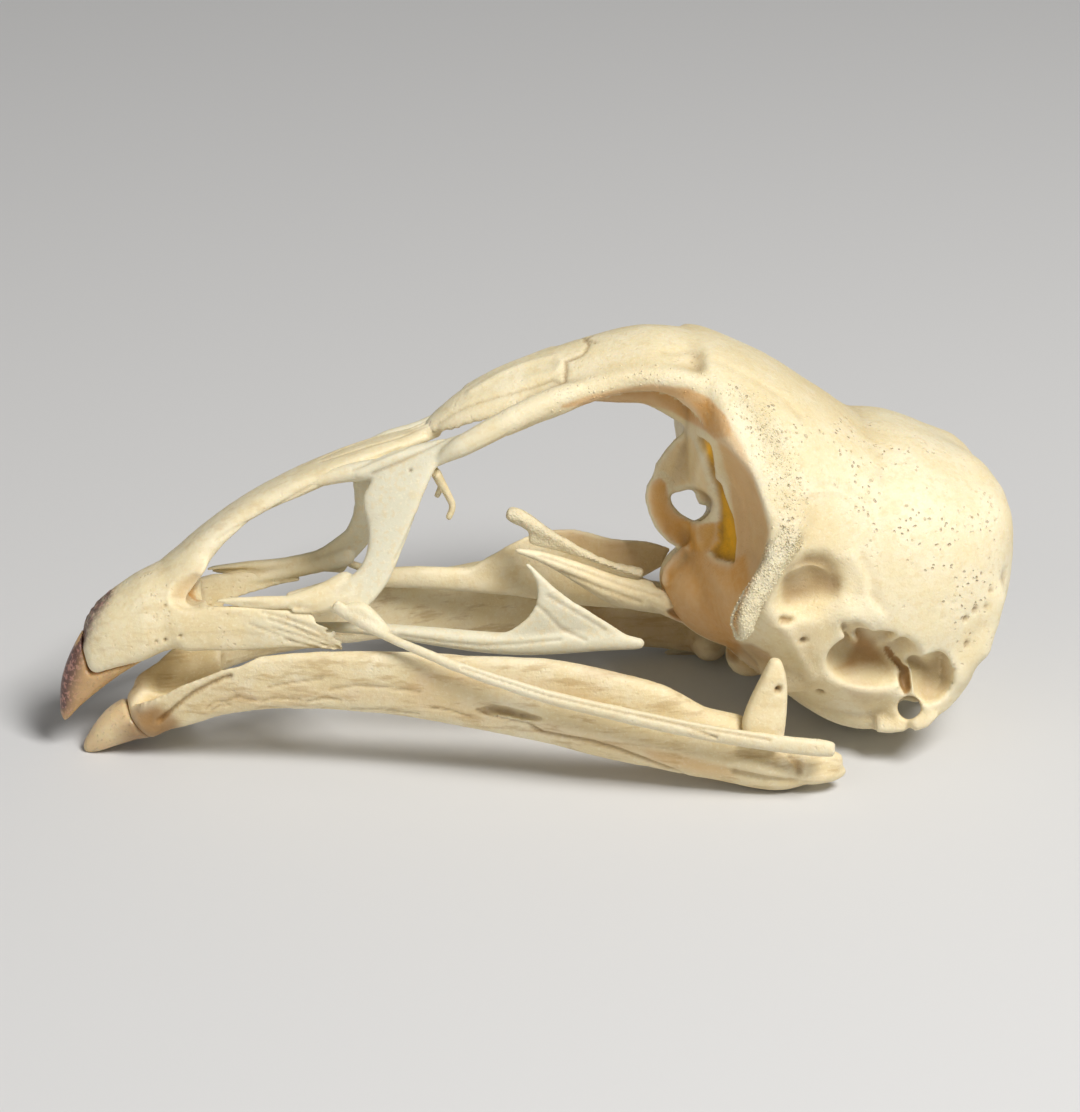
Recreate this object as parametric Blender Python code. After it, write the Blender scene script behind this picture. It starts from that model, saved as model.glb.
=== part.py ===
"""A chicken skull at life size, lying at rest with its lower jaw under it.

Sizes are in millimetres until a mesh is made. The skull is modelled upright, its mid plane at
y = 0, the bill towards -X and the crown up, and leans over as one piece. The lower jaw and the
bones that lie on it are modelled as they rest on the ground, z = 0.
"""
import math

import bpy
import bmesh
from mathutils import Matrix, Vector

MM = 0.001

# Sizes that drive the rest
GAP = 0.3
SKULL_BACK = 36.2
HEAD_HALF_WIDTH = 12.9
HINGE_HALF_WIDTH = 4.7
JAW_TIP = Vector((-34.1, 0.0, 0.0))
JAW_HEEL = Vector((17.1, -11.5, 0.0))
SKULL_LEAN = 10.0
JAW_YAW = 1.0
BONE_VOXEL = 0.27
FINE_VOXEL = 0.2

# Colours and roughness of the materials
IVORY = (0.80, 0.70, 0.50)
PALE = (0.82, 0.79, 0.68)
TAN = (0.62, 0.49, 0.28)
HORN = (0.42, 0.26, 0.14)
BONE_ROUGHNESS = 0.55
HORN_ROUGHNESS = 0.38

# The sign of Y on the skull's two sides; the left is the near one
LEFT = -1
RIGHT = 1


def clear_scene():
    for thing in list(bpy.data.objects):
        bpy.data.objects.remove(thing)


def material(name, colour, roughness):
    made = bpy.data.materials.get(name)
    if made is None:
        made = bpy.data.materials.new(name)
        made.use_nodes = True
        shader = made.node_tree.nodes["Principled BSDF"]
        shader.inputs["Base Color"].default_value = (*colour, 1.0)
        shader.inputs["Roughness"].default_value = roughness
        shader.inputs["Metallic"].default_value = 0.0
    return made


def solid(name, points, faces):
    """A closed mesh from points in millimetres, its faces turned outwards."""
    mesh = bpy.data.meshes.new(name)
    mesh.from_pydata([tuple(Vector(p) * MM) for p in points], [], faces)
    shape = bmesh.new()
    shape.from_mesh(mesh)
    bmesh.ops.triangulate(shape, faces=shape.faces)
    bmesh.ops.recalc_face_normals(shape, faces=shape.faces)
    shape.to_mesh(mesh)
    shape.free()
    made = bpy.data.objects.new(name, mesh)
    bpy.context.scene.collection.objects.link(made)
    return made


def skin_rings(name, rings):
    """Joins like rings of points into one closed shape."""
    count = len(rings[0])
    points = [p for ring in rings for p in ring]
    faces = []
    for r in range(len(rings) - 1):
        for k in range(count):
            n = (k + 1) % count
            faces.append((r * count + k, r * count + n, (r + 1) * count + n, (r + 1) * count + k))
    last = (len(rings) - 1) * count
    faces.append(tuple(reversed(range(count))))
    faces.append(tuple(range(last, last + count)))
    return solid(name, points, faces)


def smooth_rows(rows, steps):
    """Rows of numbers run through by a smooth curve, with so many steps between two rows."""
    out = []
    count = len(rows)
    for i in range(count - 1):
        before, here = rows[max(i - 1, 0)], rows[i]
        there, after = rows[i + 1], rows[min(i + 2, count - 1)]
        for s in range(steps):
            t = s / steps
            out.append([
                0.5 * (2 * b + (c - a) * t + (2 * a - 5 * b + 4 * c - d) * t * t
                       + (3 * b - a - 3 * c + d) * t ** 3)
                for a, b, c, d in zip(before, here, there, after)])
    out.append(list(rows[-1]))
    return out


def power_arc(angle, power):
    """The sine and cosine of a rounded square."""
    c, s = math.cos(angle), math.sin(angle)
    return (math.copysign(abs(c) ** (2 / power), c), math.copysign(abs(s) ** (2 / power), s))


def hull(name, rows, sides=28, power=2.3, steps=2):
    """A body across X: rows of x, z at the widest, half width, height above and depth below."""
    rings = []
    for x, z, wide, up, down in smooth_rows(rows, steps):
        ring = []
        for k in range(sides):
            c, s = power_arc(2 * math.pi * k / sides, power)
            ring.append((x, max(wide, 0.05) * c, z + s * max(up if s > 0 else down, 0.05)))
        rings.append(ring)
    return skin_rings(name, rings)


def bar(name, rows, up=(0, 0, 1), sides=10, power=2.0, steps=3):
    """A bar through x, y, z with its half width and half height in each row."""
    path = smooth_rows(rows, steps)
    up = Vector(up)
    rings = []
    for i, (x, y, z, wide, high) in enumerate(path):
        before, after = path[max(i - 1, 0)], path[min(i + 1, len(path) - 1)]
        along = (Vector(after[:3]) - Vector(before[:3])).normalized()
        side = along.cross(up).normalized()
        over = side.cross(along).normalized()
        ring = []
        for k in range(sides):
            c, s = power_arc(2 * math.pi * k / sides, power)
            ring.append(Vector((x, y, z)) + side * c * wide + over * s * high)
        rings.append(ring)
    return skin_rings(name, rings)


def arch(name, rows, sides=12, steps=3):
    """A roof strip along X: rows of x, top z, half width, drop at its edge and thickness."""
    rings = []
    for x, top, wide, drop, thick in smooth_rows(rows, steps):
        upper = []
        lower = []
        for k in range(sides + 1):
            t = 2 * k / sides - 1
            z = top - drop * abs(t) ** 1.8
            upper.append((x, wide * t, z))
            lower.append((x, wide * t * 0.96, z - thick))
        rings.append(upper + lower[::-1])
    return skin_rings(name, rings)


def plate(name, rows, steps=2, sides=8):
    """A thin blade between two edges: rows of the upper x, y, z, the lower x, y, z and half thickness."""
    rings = []
    for row in smooth_rows(rows, steps):
        top, low, half = Vector(row[0:3]), Vector(row[3:6]), row[6]
        middle = (top + low) / 2
        reach = (top - low) / 2
        rings.append((middle, reach, half))
    out = []
    for i, (middle, reach, half) in enumerate(rings):
        before, after = rings[max(i - 1, 0)][0], rings[min(i + 1, len(rings) - 1)][0]
        along = (after - before).normalized()
        face = along.cross(reach).normalized()
        ring = []
        for k in range(sides):
            c, s = power_arc(2 * math.pi * k / sides, 3.0)
            ring.append(middle + reach * c + face * s * half)
        out.append(ring)
    return skin_rings(name, out)


def ball(name, centre, radii, turn=(0, 0, 0), detail=3):
    """An egg shape, turned by degrees about X, Y and Z."""
    mesh = bpy.data.meshes.new(name)
    shape = bmesh.new()
    bmesh.ops.create_icosphere(shape, subdivisions=detail, radius=1.0)
    size = Matrix.Diagonal((*[r * MM for r in radii], 1.0))
    spin = Matrix.Identity(4)
    for axis, angle in zip("XYZ", turn):
        spin = Matrix.Rotation(math.radians(angle), 4, axis) @ spin
    place = Matrix.Translation(Vector(centre) * MM) @ spin @ size
    bmesh.ops.transform(shape, matrix=place, verts=shape.verts)
    shape.to_mesh(mesh)
    shape.free()
    made = bpy.data.objects.new(name, mesh)
    bpy.context.scene.collection.objects.link(made)
    return made


def prism(name, outline, reach):
    """A closed shape with an outline in x and z, drawn out to both sides."""
    count = len(outline)
    points = [(x, y, z) for y in (-reach, reach) for x, z in outline]
    faces = [tuple(range(count)), tuple(reversed(range(count, 2 * count)))]
    for k in range(count):
        n = (k + 1) % count
        faces.append((k, k + count, n + count, n))
    return solid(name, points, faces)


def overlap_with(shape, keeper):
    """Leaves of a shape only what lies inside the keeper."""
    held = shape.modifiers.new("held", "BOOLEAN")
    held.operation = "INTERSECT"
    held.object = keeper
    held.solver = "EXACT"
    settle(shape)
    bpy.data.objects.remove(keeper)
    return shape


def on_side(rows, side, columns=(1,)):
    """The rows of a left piece, or the same turned over to the right."""
    return [[-v if side == RIGHT and i in columns else v for i, v in enumerate(row)] for row in rows]


def settle(shape):
    """Makes what the modifiers give the shape's own mesh."""
    seen = shape.evaluated_get(bpy.context.evaluated_depsgraph_get())
    mesh = bpy.data.meshes.new_from_object(seen)
    shape.modifiers.clear()
    shape.data = mesh


def keep_largest(mesh):
    """Leaves only the largest closed surface of a mesh."""
    shape = bmesh.new()
    shape.from_mesh(mesh)
    shape.verts.ensure_lookup_table()
    left = set(shape.verts)
    groups = []
    while left:
        seed = left.pop()
        group = {seed}
        edge = [seed]
        while edge:
            here = edge.pop()
            for link in here.link_edges:
                other = link.other_vert(here)
                if other in left:
                    left.discard(other)
                    group.add(other)
                    edge.append(other)
        groups.append(group)
    largest = max(groups, key=len)
    scrap = [v for v in shape.verts if v not in largest]
    bmesh.ops.delete(shape, geom=scrap, context="VERTS")
    shape.to_mesh(mesh)
    shape.free()


def boolean_with(shape, others, operation):
    """One Boolean of the shape with a collection of others, which are then removed."""
    group = bpy.data.collections.new(shape.name + "_others")
    bpy.context.scene.collection.children.link(group)
    for other in others:
        group.objects.link(other)
        bpy.context.scene.collection.objects.unlink(other)
    change = shape.modifiers.new(operation.lower(), "BOOLEAN")
    change.operation = operation
    change.operand_type = "COLLECTION"
    change.collection = group
    change.solver = "EXACT"
    settle(shape)
    for other in others:
        bpy.data.objects.remove(other)
    bpy.data.collections.remove(group)


def grown(shape):
    """A cutter: the shape, larger by the gap that touching bones keep."""
    mesh = shape.data.copy()
    cutter = bpy.data.objects.new(shape.name + "_room", mesh)
    bpy.context.scene.collection.objects.link(cutter)
    swell = cutter.modifiers.new("swell", "DISPLACE")
    swell.strength = (GAP + 0.04) * MM
    swell.mid_level = 0.0
    settle(cutter)
    return cutter


def seen_from(cutter, place, frame):
    """Turns a cutter from the frame that it stands in into another frame."""
    cutter.data.transform(frame.inverted() @ place)
    return cutter


def fuse(name, pieces, cuts=(), voxel=BONE_VOXEL, smoothing=4, triangles=1000):
    """Unites the pieces, cuts them, rounds the joins and brings them to so many triangles."""
    shape = pieces[0]
    shape.name = name
    if len(pieces) > 1:
        boolean_with(shape, list(pieces[1:]), "UNION")
    if cuts:
        boolean_with(shape, list(cuts), "DIFFERENCE")
    grid = shape.modifiers.new("grid", "REMESH")
    grid.mode = "VOXEL"
    grid.voxel_size = voxel * MM
    soft = shape.modifiers.new("soft", "SMOOTH")
    soft.factor = 0.5
    soft.iterations = smoothing
    settle(shape)
    keep_largest(shape.data)
    count = sum(len(face.vertices) - 2 for face in shape.data.polygons)
    fewer = shape.modifiers.new("fewer", "DECIMATE")
    fewer.ratio = min(1.0, triangles / count)
    fewer.use_collapse_triangulate = True
    settle(shape)
    keep_largest(shape.data)
    shape.data.shade_smooth()
    return shape


def finish(shape, stuff, carrier):
    shape.data.materials.clear()
    shape.data.materials.append(stuff)
    shape.parent = carrier
    return shape


# The skull's own bones

HEAD_ROWS = [
    # x, z at the widest, half width, height above it, depth below it
    [10.6, 29.4, 7.6, 3.7, 3.6],
    [11.6, 25.0, 10.2, 8.1, 10.0],
    [13.0, 20.2, 12.2, 12.5, 9.3],
    [15.0, 18.4, HEAD_HALF_WIDTH, 13.5, 9.4],
    [17.0, 17.6, 12.7, 13.4, 10.6],
    [19.5, 17.0, 12.2, 12.5, 12.2],
    [21.8, 16.6, 11.9, 11.5, 13.2],
    [23.8, 16.2, 11.8, 10.6, 13.4],
    [26.0, 16.0, 11.8, 10.8, 13.2],
    [28.5, 16.0, 11.4, 10.1, 12.3],
    [31.0, 16.2, 10.5, 8.5, 11.0],
    [33.5, 16.4, 8.8, 6.5, 8.6],
    [34.9, 16.5, 6.6, 4.7, 6.2],
    [35.8, 16.5, 4.2, 2.9, 4.6],
    [SKULL_BACK, 16.3, 1.8, 1.3, 2.8],
]

ROOF_ROWS = [
    # x, top, half width, drop at the edge, thickness
    [-9.3, 25.8, 0.7, 0.2, 0.9],
    [-8.1, 27.0, 1.8, 0.9, 1.0],
    [-6.3, 28.5, 2.7, 1.5, 1.1],
    [-3.7, 30.0, 3.3, 2.0, 1.2],
    [-1.5, 30.9, 4.0, 2.6, 1.3],
    [0.7, 31.7, HINGE_HALF_WIDTH + 0.2, 2.5, 1.4],
    [3.7, 32.6, HINGE_HALF_WIDTH + 0.4, 2.0, 1.5],
    [6.7, 33.3, 5.7, 2.0, 1.6],
    [9.0, 33.3, 6.9, 2.8, 1.8],
    [11.0, 33.0, 8.1, 4.0, 2.2],
    [13.0, 32.4, 9.2, 5.2, 2.6],
]


def head_bone():
    """The braincase with the brow roof, the eye sockets' rims and the base, all one bone."""
    pieces = [
        hull("braincase", HEAD_ROWS),
        arch("roof", ROOF_ROWS),
        plate("keel", [
            [-2.0, 0, 30.4, -2.0, 0, 29.2, 0.9],
            [1.0, 0, 31.0, 1.0, 0, 27.9, 1.0],
            [4.0, 0, 32.0, 4.0, 0, 27.3, 1.0],
            [7.5, 0, 32.5, 7.5, 0, 27.2, 1.0],
            [10.0, 0, 32.0, 10.0, 0, 25.8, 1.0],
            [13.0, 0, 31.0, 13.0, 0, 25.0, 1.0],
        ]),
        plate("septum", [
            [11.0, 0, 25.2, 16.5, 0, 25.6, 0.45],
            [9.4, 0, 23.4, 16.5, 0, 23.0, 0.45],
            [8.3, 0, 21.2, 16.5, 0, 21.0, 0.45],
            [8.1, 0, 19.7, 16.5, 0, 19.0, 0.45],
            [8.8, 0, 18.0, 16.5, 0, 17.0, 0.45],
            [10.4, 0, 16.2, 16.5, 0, 15.0, 0.45],
            [12.2, 0, 15.2, 16.5, 0, 14.0, 0.45],
        ]),
        ball("base_front", (14.2, 0, 12.4), (5.2, 5.6, 3.6), turn=(0, 28, 0)),
        plate("base_plate", [
            [15.5, -4.8, 9.2, 15.5, 4.8, 9.2, 1.2],
            [18.5, -5.6, 7.6, 18.5, 5.6, 7.6, 1.6],
            [21.5, -6.6, 5.4, 21.5, 6.6, 5.4, 1.5],
            [24.0, -7.6, 4.5, 24.0, 7.6, 4.5, 1.4],
            [27.0, -8.2, 5.0, 27.0, 8.2, 5.0, 1.4],
            [30.0, -7.4, 6.4, 30.0, 7.4, 6.4, 1.4],
        ], sides=12),
        ball("base_lip", (17.4, 2.2, 7.2), (1.9, 2.6, 2.3), turn=(0, 45, 0)),
        ball("condyle", (31.6, 0, 5.9), (1.5, 1.3, 1.3)),
    ]
    cuts = []
    for side in (LEFT, RIGHT):
        pieces += side_of_head(side)
        cuts += side_cuts(side)
    cuts.append(ball("foramen_magnum", (35.4, 0, 8.6), (3.2, 2.7, 2.6), turn=(0, 38, 0)))
    cuts += [eye_nerve_hole(), keyhole_cut()]
    return fuse("cranium", pieces, cuts, triangles=5200)


def side_of_head(side):
    """The pieces of one side: brow bar, process behind the eye, cheek swelling and neck wing."""
    forward = -1.4 if side == RIGHT else 0.0
    brow = [
        [-4.2, -4.75, 26.6, 0.8, 0.9],
        [-2.5, -4.8, 27.4, 0.8, 0.95],
        [-0.5, -4.75, 28.3, 0.9, 1.0],
        [2.0, -4.6, 29.4, 0.9, 1.0],
        [5.0, -4.9, 30.4, 0.9, 1.0],
        [8.0, -5.8, 30.7, 1.0, 1.0],
        [10.6, -6.6, 30.2, 0.9, 0.9],
        [13.4, -6.6, 29.2, 0.6, 0.6],
    ]
    process = [
        [17.0, -10.4, 23.4, 1.2, 1.2],
        [16.3 + 0.4 * forward, -11.7, 21.4, 1.3, 1.3],
        [15.5 + 0.6 * forward, -12.4, 19.8, 1.2, 1.2],
        [14.8 + 0.8 * forward, -12.8, 18.3, 1.1, 1.1],
        [14.0 + forward, -12.9, 16.8, 0.95, 1.0],
        [13.3 + forward, -12.9, 15.0, 1.05, 0.95],
        [13.0 + forward, -12.8, 13.0, 0.95, 0.8],
    ]
    wing = [
        [25.2, -9.6, 13.2, 24.6, -6.6, 4.6, 0.9],
        [27.0, -10.1, 12.6, 26.4, -7.9, 4.4, 0.8],
        [28.8, -10.1, 12.2, 28.2, -8.8, 4.6, 0.75],
        [30.6, -9.3, 12.0, 30.2, -8.2, 5.6, 0.8],
        [32.0, -8.0, 12.0, 32.0, -6.4, 7.2, 0.9],
    ]
    return [
        bar("brow", on_side(brow, side), up=(0, 0, 1)),
        bar("process", on_side(process, side), up=(1, 0, 0)),
        plate("neck_wing", on_side(wing, side, (1, 4)), sides=10),
        ball("cheek", (21.6, side * 10.2, 14.4), (3.4, 2.3, 2.2), turn=(0, 20, 0)),
        ball("ear_wall", (18.8, side * 7.0, 9.8), (2.6, 2.4, 3.4), turn=(0, 40, 0)),
    ]


def side_cuts(side):
    """What is taken out of one side: eye socket, temple, ear hollow and the wing's cup."""
    return [
        ball("socket", (2.2, side * 12.0, 19.6), (12.6, 11.2, 10.8), turn=(0, -8, 0)),
        ball("socket_back", (8.6, side * 10.6, 19.4), (5.3, 8.6, 6.6), turn=(0, 12, side * 8)),
        ball("temple", (17.9, side * 14.3, 15.6), (3.4, 3.4, 2.5), turn=(0, -12, 0)),
        ball("ear_hollow", (23.8, side * 10.6, 10.4), (3.7, 3.4, 2.6), turn=(0, 6, 0)),
        ball("wing_cup", (28.9, side * 12.0, 8.6), (1.9, 2.8, 2.9)),
    ]


def sight_line():
    """The direction from the near side through the skull in which its holes are seen through."""
    return Vector((0.17, 0.945, -0.28)).normalized()


def drill(name, start, along, radii, length, sides=12):
    """A long cutter from a point along a direction, with its half width and half height."""
    start = Vector(start)
    end = start + along * length
    rows = [[*start, *radii], [*end, *radii]]
    return bar(name, rows, up=(0, 0, 1), sides=sides, steps=1)


def eye_nerve_hole():
    along = sight_line()
    return drill("nerve_hole", Vector((11.4, 0, 19.5)) - along * 6.0, along, (1.7, 1.25), 26.0)


def keyhole_cut():
    """The round hole at the base's rear corner, which just opens below."""
    along = sight_line()
    return drill("keyhole", Vector((27.6, -8.4, 5.4)) - along * 3.0, along, (0.9, 0.95), 22.0)


def rostrum(head):
    """The long beam under the eyes, which tapers to a point towards the bill."""
    beam = bar("rostrum", [
        [-2.0, 0, 15.9, 0.3, 0.25],
        [0.5, 0, 15.2, 0.55, 0.5],
        [3.4, 0, 13.9, 0.8, 0.9],
        [6.0, 0, 12.7, 1.0, 1.2],
        [8.6, 0, 12.2, 1.2, 1.3],
        [12.0, 0, 12.0, 1.4, 1.5],
    ], sides=12)
    return fuse("rostrum", [beam], [grown(head)], voxel=FINE_VOXEL, smoothing=2, triangles=300)


def nose_plate(beam):
    """The upright plate between the eyes: a granular rod along the top of a thin sheet."""
    rod = bar("nose_plate", [
        [-2.7, 0, 18.8, 0.5, 0.55],
        [-1.6, 0, 18.4, 0.65, 0.7],
        [0.6, 0, 17.1, 0.5, 0.45],
        [3.2, 0, 15.6, 0.5, 0.45],
        [5.8, 0, 14.5, 0.5, 0.4],
        [8.0, 0, 14.0, 0.75, 0.5],
    ], sides=10)
    sheet = plate("sheet", [
        [-0.9, 0, 17.9, -1.0, 0, 16.4, 0.3],
        [1.2, 0, 16.8, 0.6, 0, 15.4, 0.3],
        [4.0, 0, 15.2, 3.2, 0, 14.0, 0.3],
        [6.4, 0, 14.4, 6.0, 0, 12.8, 0.3],
    ])
    return fuse("nose_plate", [rod, sheet], [grown(beam)], voxel=FINE_VOXEL, smoothing=1, triangles=420)


# The bill and the bones of the face

BILL_ROWS = [
    # x, z at the widest, half width, height above it, depth below it
    [-35.95, 4.3, 0.35, 1.0, 1.0],
    [-35.6, 4.6, 0.8, 2.3, 2.1],
    [-34.9, 5.6, 1.25, 3.0, 2.2],
    [-33.9, 7.1, 1.9, 3.5, 2.7],
    [-32.6, 8.3, 2.6, 3.9, 2.7],
    [-30.6, 9.3, 3.25, 4.3, 2.1],
    [-28.6, 9.9, 3.7, 5.1, 1.6],
    [-26.6, 10.3, 4.05, 6.4, 1.4],
    [-25.4, 10.5, 4.2, 6.4, 1.4],
]

NOSTRIL = [
    # x, z around the left nostril's edge
    (-27.2, 12.7), (-26.0, 14.5), (-24.1, 16.9), (-22.3, 18.6), (-20.1, 19.8), (-17.9, 20.6),
    (-15.7, 21.2), (-14.3, 21.0), (-13.7, 19.4), (-13.8, 17.5), (-14.3, 16.0), (-15.8, 14.8),
    (-18.8, 13.8), (-22.4, 13.1), (-24.6, 13.1), (-26.4, 12.3)]


def bone_room(room):
    """The part of the bill that is bone: behind the horn's band and above its cutting edge."""
    outline = [
        (-33.0 - room, 14.0), (-33.3 - room, 11.6), (-34.0 - room, 10.2), (-34.2 - room, 8.4),
        (-33.7 - room, 6.9 - room), (-32.4, 7.5 - room), (-30.4, 8.15 - room), (-28.4, 8.5 - room),
        (-27.6, 6.0), (-20.0, 6.0), (-20.0, 22.0), (-30.0, 22.0)]
    return prism("bone_room", outline, 8.0)


def upper_bill(head):
    """The premaxilla: a hooked front that runs on as a culmen bar and two edge bars."""
    front = overlap_with(hull("premaxilla", BILL_ROWS, sides=24, power=2.2), bone_room(0.0))
    culmen = bar("culmen", [
        [-27.5, 0, 13.8, 2.4, 1.5],
        [-25.5, 0, 16.0, 2.2, 1.35],
        [-22.9, 0, 18.5, 2.0, 1.05],
        [-20.7, 0, 20.0, 2.0, 0.95],
        [-18.5, 0, 21.2, 2.1, 0.9],
        [-15.5, 0, 22.6, 2.2, 0.85],
        [-12.6, 0, 23.7, 2.1, 0.8],
        [-10.2, 0, 24.6, 1.6, 0.6],
        [-8.0, 0, 25.3, 0.9, 0.5],
    ], sides=12, power=2.6)
    pieces = [front, culmen]
    for side in (LEFT, RIGHT):
        edge = [
            [-27.6, -3.4, 10.4, 0.75, 1.5],
            [-25.4, -3.9, 10.9, 0.6, 1.8],
            [-22.9, -4.4, 11.1, 0.5, 1.85],
            [-20.4, -4.8, 11.2, 0.45, 1.7],
            [-18.2, -5.1, 11.2, 0.42, 1.6],
            [-15.2, -5.5, 10.8, 0.4, 1.2],
        ]
        pieces.append(bar("edge", on_side(edge, side), sides=12, power=2.4))
    cuts = [
        ball("mouth_roof", (-24.2, 0, 8.4), (7.0, 2.9, 2.7), turn=(0, -6, 0)),
        ball("nose_inside", (-22.6, 0, 14.4), (4.2, 3.2, 2.9), turn=(0, -30, 0)),
        prism("nostril", NOSTRIL, 9.0),
        grown(head),
    ]
    return fuse("premaxilla", pieces, cuts, triangles=1600, voxel=0.24)


def upper_horn():
    """The horn that is left at the tip and along the lower edge of the bill."""
    tip = hull("horn_upper", BILL_ROWS[:8], sides=24, power=2.2)
    mouth = ball("mouth", (-28.6, 0, 6.4), (3.6, 2.3, 2.2), turn=(0, -24, 0))
    return fuse("horn_upper", [tip], [bone_room(GAP), mouth], voxel=FINE_VOXEL, smoothing=1, triangles=420)


def nasal(side, head, bill):
    """The pale plate behind the nostril, with its bar to the brow and its foot on the bill's edge."""
    blade = plate("nasal", on_side([
        [-12.6, -2.5, 23.0, -8.0, -3.9, 24.7, 0.5],
        [-14.2, -3.1, 21.0, -9.2, -4.5, 22.6, 0.5],
        [-13.9, -3.8, 19.2, -10.2, -4.9, 20.0, 0.5],
        [-13.8, -4.4, 17.6, -11.2, -5.2, 17.4, 0.5],
        [-14.4, -4.8, 15.9, -12.2, -5.6, 15.0, 0.5],
        [-16.6, -5.1, 14.2, -13.6, -5.9, 13.2, 0.5],
    ], side, (1, 4)), sides=10)
    top = bar("top", on_side([
        [-14.6, -2.6, 22.4, 0.5, 0.5],
        [-11.6, -2.9, 23.9, 0.6, 0.55],
        [-9.4, -3.0, 24.5, 0.65, 0.6],
        [-7.2, -3.9, 25.1, 0.7, 0.75],
        [-5.4, -4.6, 26.0, 0.7, 0.85],
        [-3.4, -4.8, 26.9, 0.7, 0.85],
    ], side))
    foot = bar("foot", on_side([
        [-25.0, -4.1, 13.0, 0.35, 0.35],
        [-22.0, -4.6, 13.2, 0.4, 0.5],
        [-18.8, -5.0, 13.2, 0.5, 0.7],
        [-16.0, -5.5, 13.4, 0.6, 0.9],
        [-14.0, -5.9, 12.9, 0.55, 0.7],
    ], side))
    cuts = [grown(head), grown(bill)]
    return fuse(side_name("nasal", side), [blade, top, foot], cuts, voxel=0.22, smoothing=2, triangles=760)


def lacrimal(side, nose):
    """The small hooked bone that hangs in the front of the eye socket."""
    hook = bar("lacrimal", on_side([
        [-9.6, -3.9, 23.8, 0.5, 0.5],
        [-8.8, -3.6, 22.9, 0.45, 0.45],
        [-8.3, -3.4, 22.0, 0.38, 0.4],
        [-7.7, -3.2, 21.0, 0.32, 0.35],
        [-7.3, -3.1, 20.1, 0.3, 0.32],
        [-7.7, -3.1, 19.1, 0.28, 0.28],
    ], side), up=(0, 1, 0), sides=10)
    return fuse(side_name("lacrimal", side), [hook], [grown(nose)], voxel=0.16, smoothing=1, triangles=160)


def near_palatine(bill):
    """The near bar of the palate, which has dropped a little, with its raised wing and spur."""
    rod = bar("palatine", [
        [-19.0, -2.2, 10.6, 0.5, 0.3],
        [-13.0, -2.7, 10.5, 0.7, 0.5],
        [-8.0, -3.2, 10.0, 0.75, 0.75],
        [-3.0, -3.7, 9.6, 0.7, 0.9],
        [1.0, -4.2, 9.8, 0.6, 0.9],
        [4.5, -4.2, 9.9, 0.5, 0.75],
        [7.6, -4.1, 9.7, 0.4, 0.45],
    ], sides=12)
    wing = plate("wing", [
        [-4.4, -3.7, 9.4, 7.4, -4.1, 9.2, 0.45],
        [-3.0, -3.8, 10.6, 6.4, -4.1, 10.4, 0.4],
        [-1.7, -3.9, 11.6, 4.8, -4.2, 11.4, 0.38],
        [-1.0, -3.9, 12.7, 3.2, -4.2, 12.4, 0.35],
        [-0.8, -3.8, 13.8, 1.5, -4.1, 13.4, 0.33],
        [-1.1, -3.6, 14.9, 0.1, -3.9, 14.5, 0.32],
        [-2.0, -3.3, 16.0, -1.3, -3.5, 15.8, 0.28],
    ], sides=10)
    return fuse("palatine_left", [rod, wing], [grown(bill)], voxel=0.2, smoothing=1, triangles=640)


def far_palatine(bill, head):
    """The far bar of the palate, still in its place, with a long low wing."""
    rod = bar("palatine", [
        [-19.0, 2.0, 11.6, 0.5, 0.3],
        [-14.0, 2.5, 12.6, 0.6, 0.6],
        [-10.0, 2.9, 12.9, 0.6, 0.9],
        [-5.5, 3.2, 12.6, 0.6, 1.0],
        [-1.0, 3.6, 12.2, 0.55, 1.1],
        [3.5, 3.8, 11.4, 0.5, 1.1],
        [8.5, 3.6, 10.6, 0.4, 0.6],
    ], sides=12)
    wing = plate("wing", [
        [-5.0, 3.1, 13.5, -5.0, 3.3, 12.0, 0.4],
        [-2.2, 3.1, 15.3, -2.2, 3.6, 11.6, 0.38],
        [0.6, 3.2, 16.6, 0.6, 3.8, 11.2, 0.35],
        [3.4, 3.4, 16.7, 3.4, 3.8, 10.8, 0.35],
        [6.2, 3.5, 15.9, 6.0, 3.7, 10.8, 0.35],
        [8.6, 3.6, 15.7, 8.2, 3.7, 12.2, 0.35],
        [10.6, 3.8, 15.1, 10.2, 3.9, 13.3, 0.33],
        [12.2, 4.0, 14.4, 12.0, 4.0, 13.7, 0.3],
    ], sides=10)
    cuts = [grown(bill), grown(head)]
    return fuse("palatine_right", [rod, wing], cuts, voxel=0.2, smoothing=1, triangles=680)


# The lower jaw and what lies on it, as they rest on the ground

JAW_ROWS = [
    # x, half distance to the middle of the ramus, lower z, upper z, half thickness
    [-29.6, 1.6, 4.0, 6.4, 0.5],
    [-27.4, 2.4, 4.5, 7.9, 0.6],
    [-25.2, 3.0, 5.1, 8.8, 0.65],
    [-21.4, 4.0, 5.9, 9.8, 0.7],
    [-17.0, 4.9, 6.2, 10.5, 0.75],
    [-12.0, 6.0, 6.1, 10.8, 0.85],
    [-6.0, 7.4, 4.9, 10.7, 0.95],
    [-1.0, 8.5, 3.8, 10.7, 1.05],
    [3.5, 9.5, 2.7, 9.9, 1.15],
    [7.2, 10.1, 1.9, 8.9, 1.2],
    [10.4, 10.6, 1.3, 7.0, 1.4],
    [13.4, 10.9, 0.8, 6.2, 1.7],
    [16.4, 11.1, 0.1, 4.2, 2.0],
    [18.4, 11.4, 0.5, 3.9, 1.6],
    [20.4, 11.8, 1.2, 3.5, 1.1],
    [21.7, 12.0, 1.8, 3.0, 0.7],
]


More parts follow.
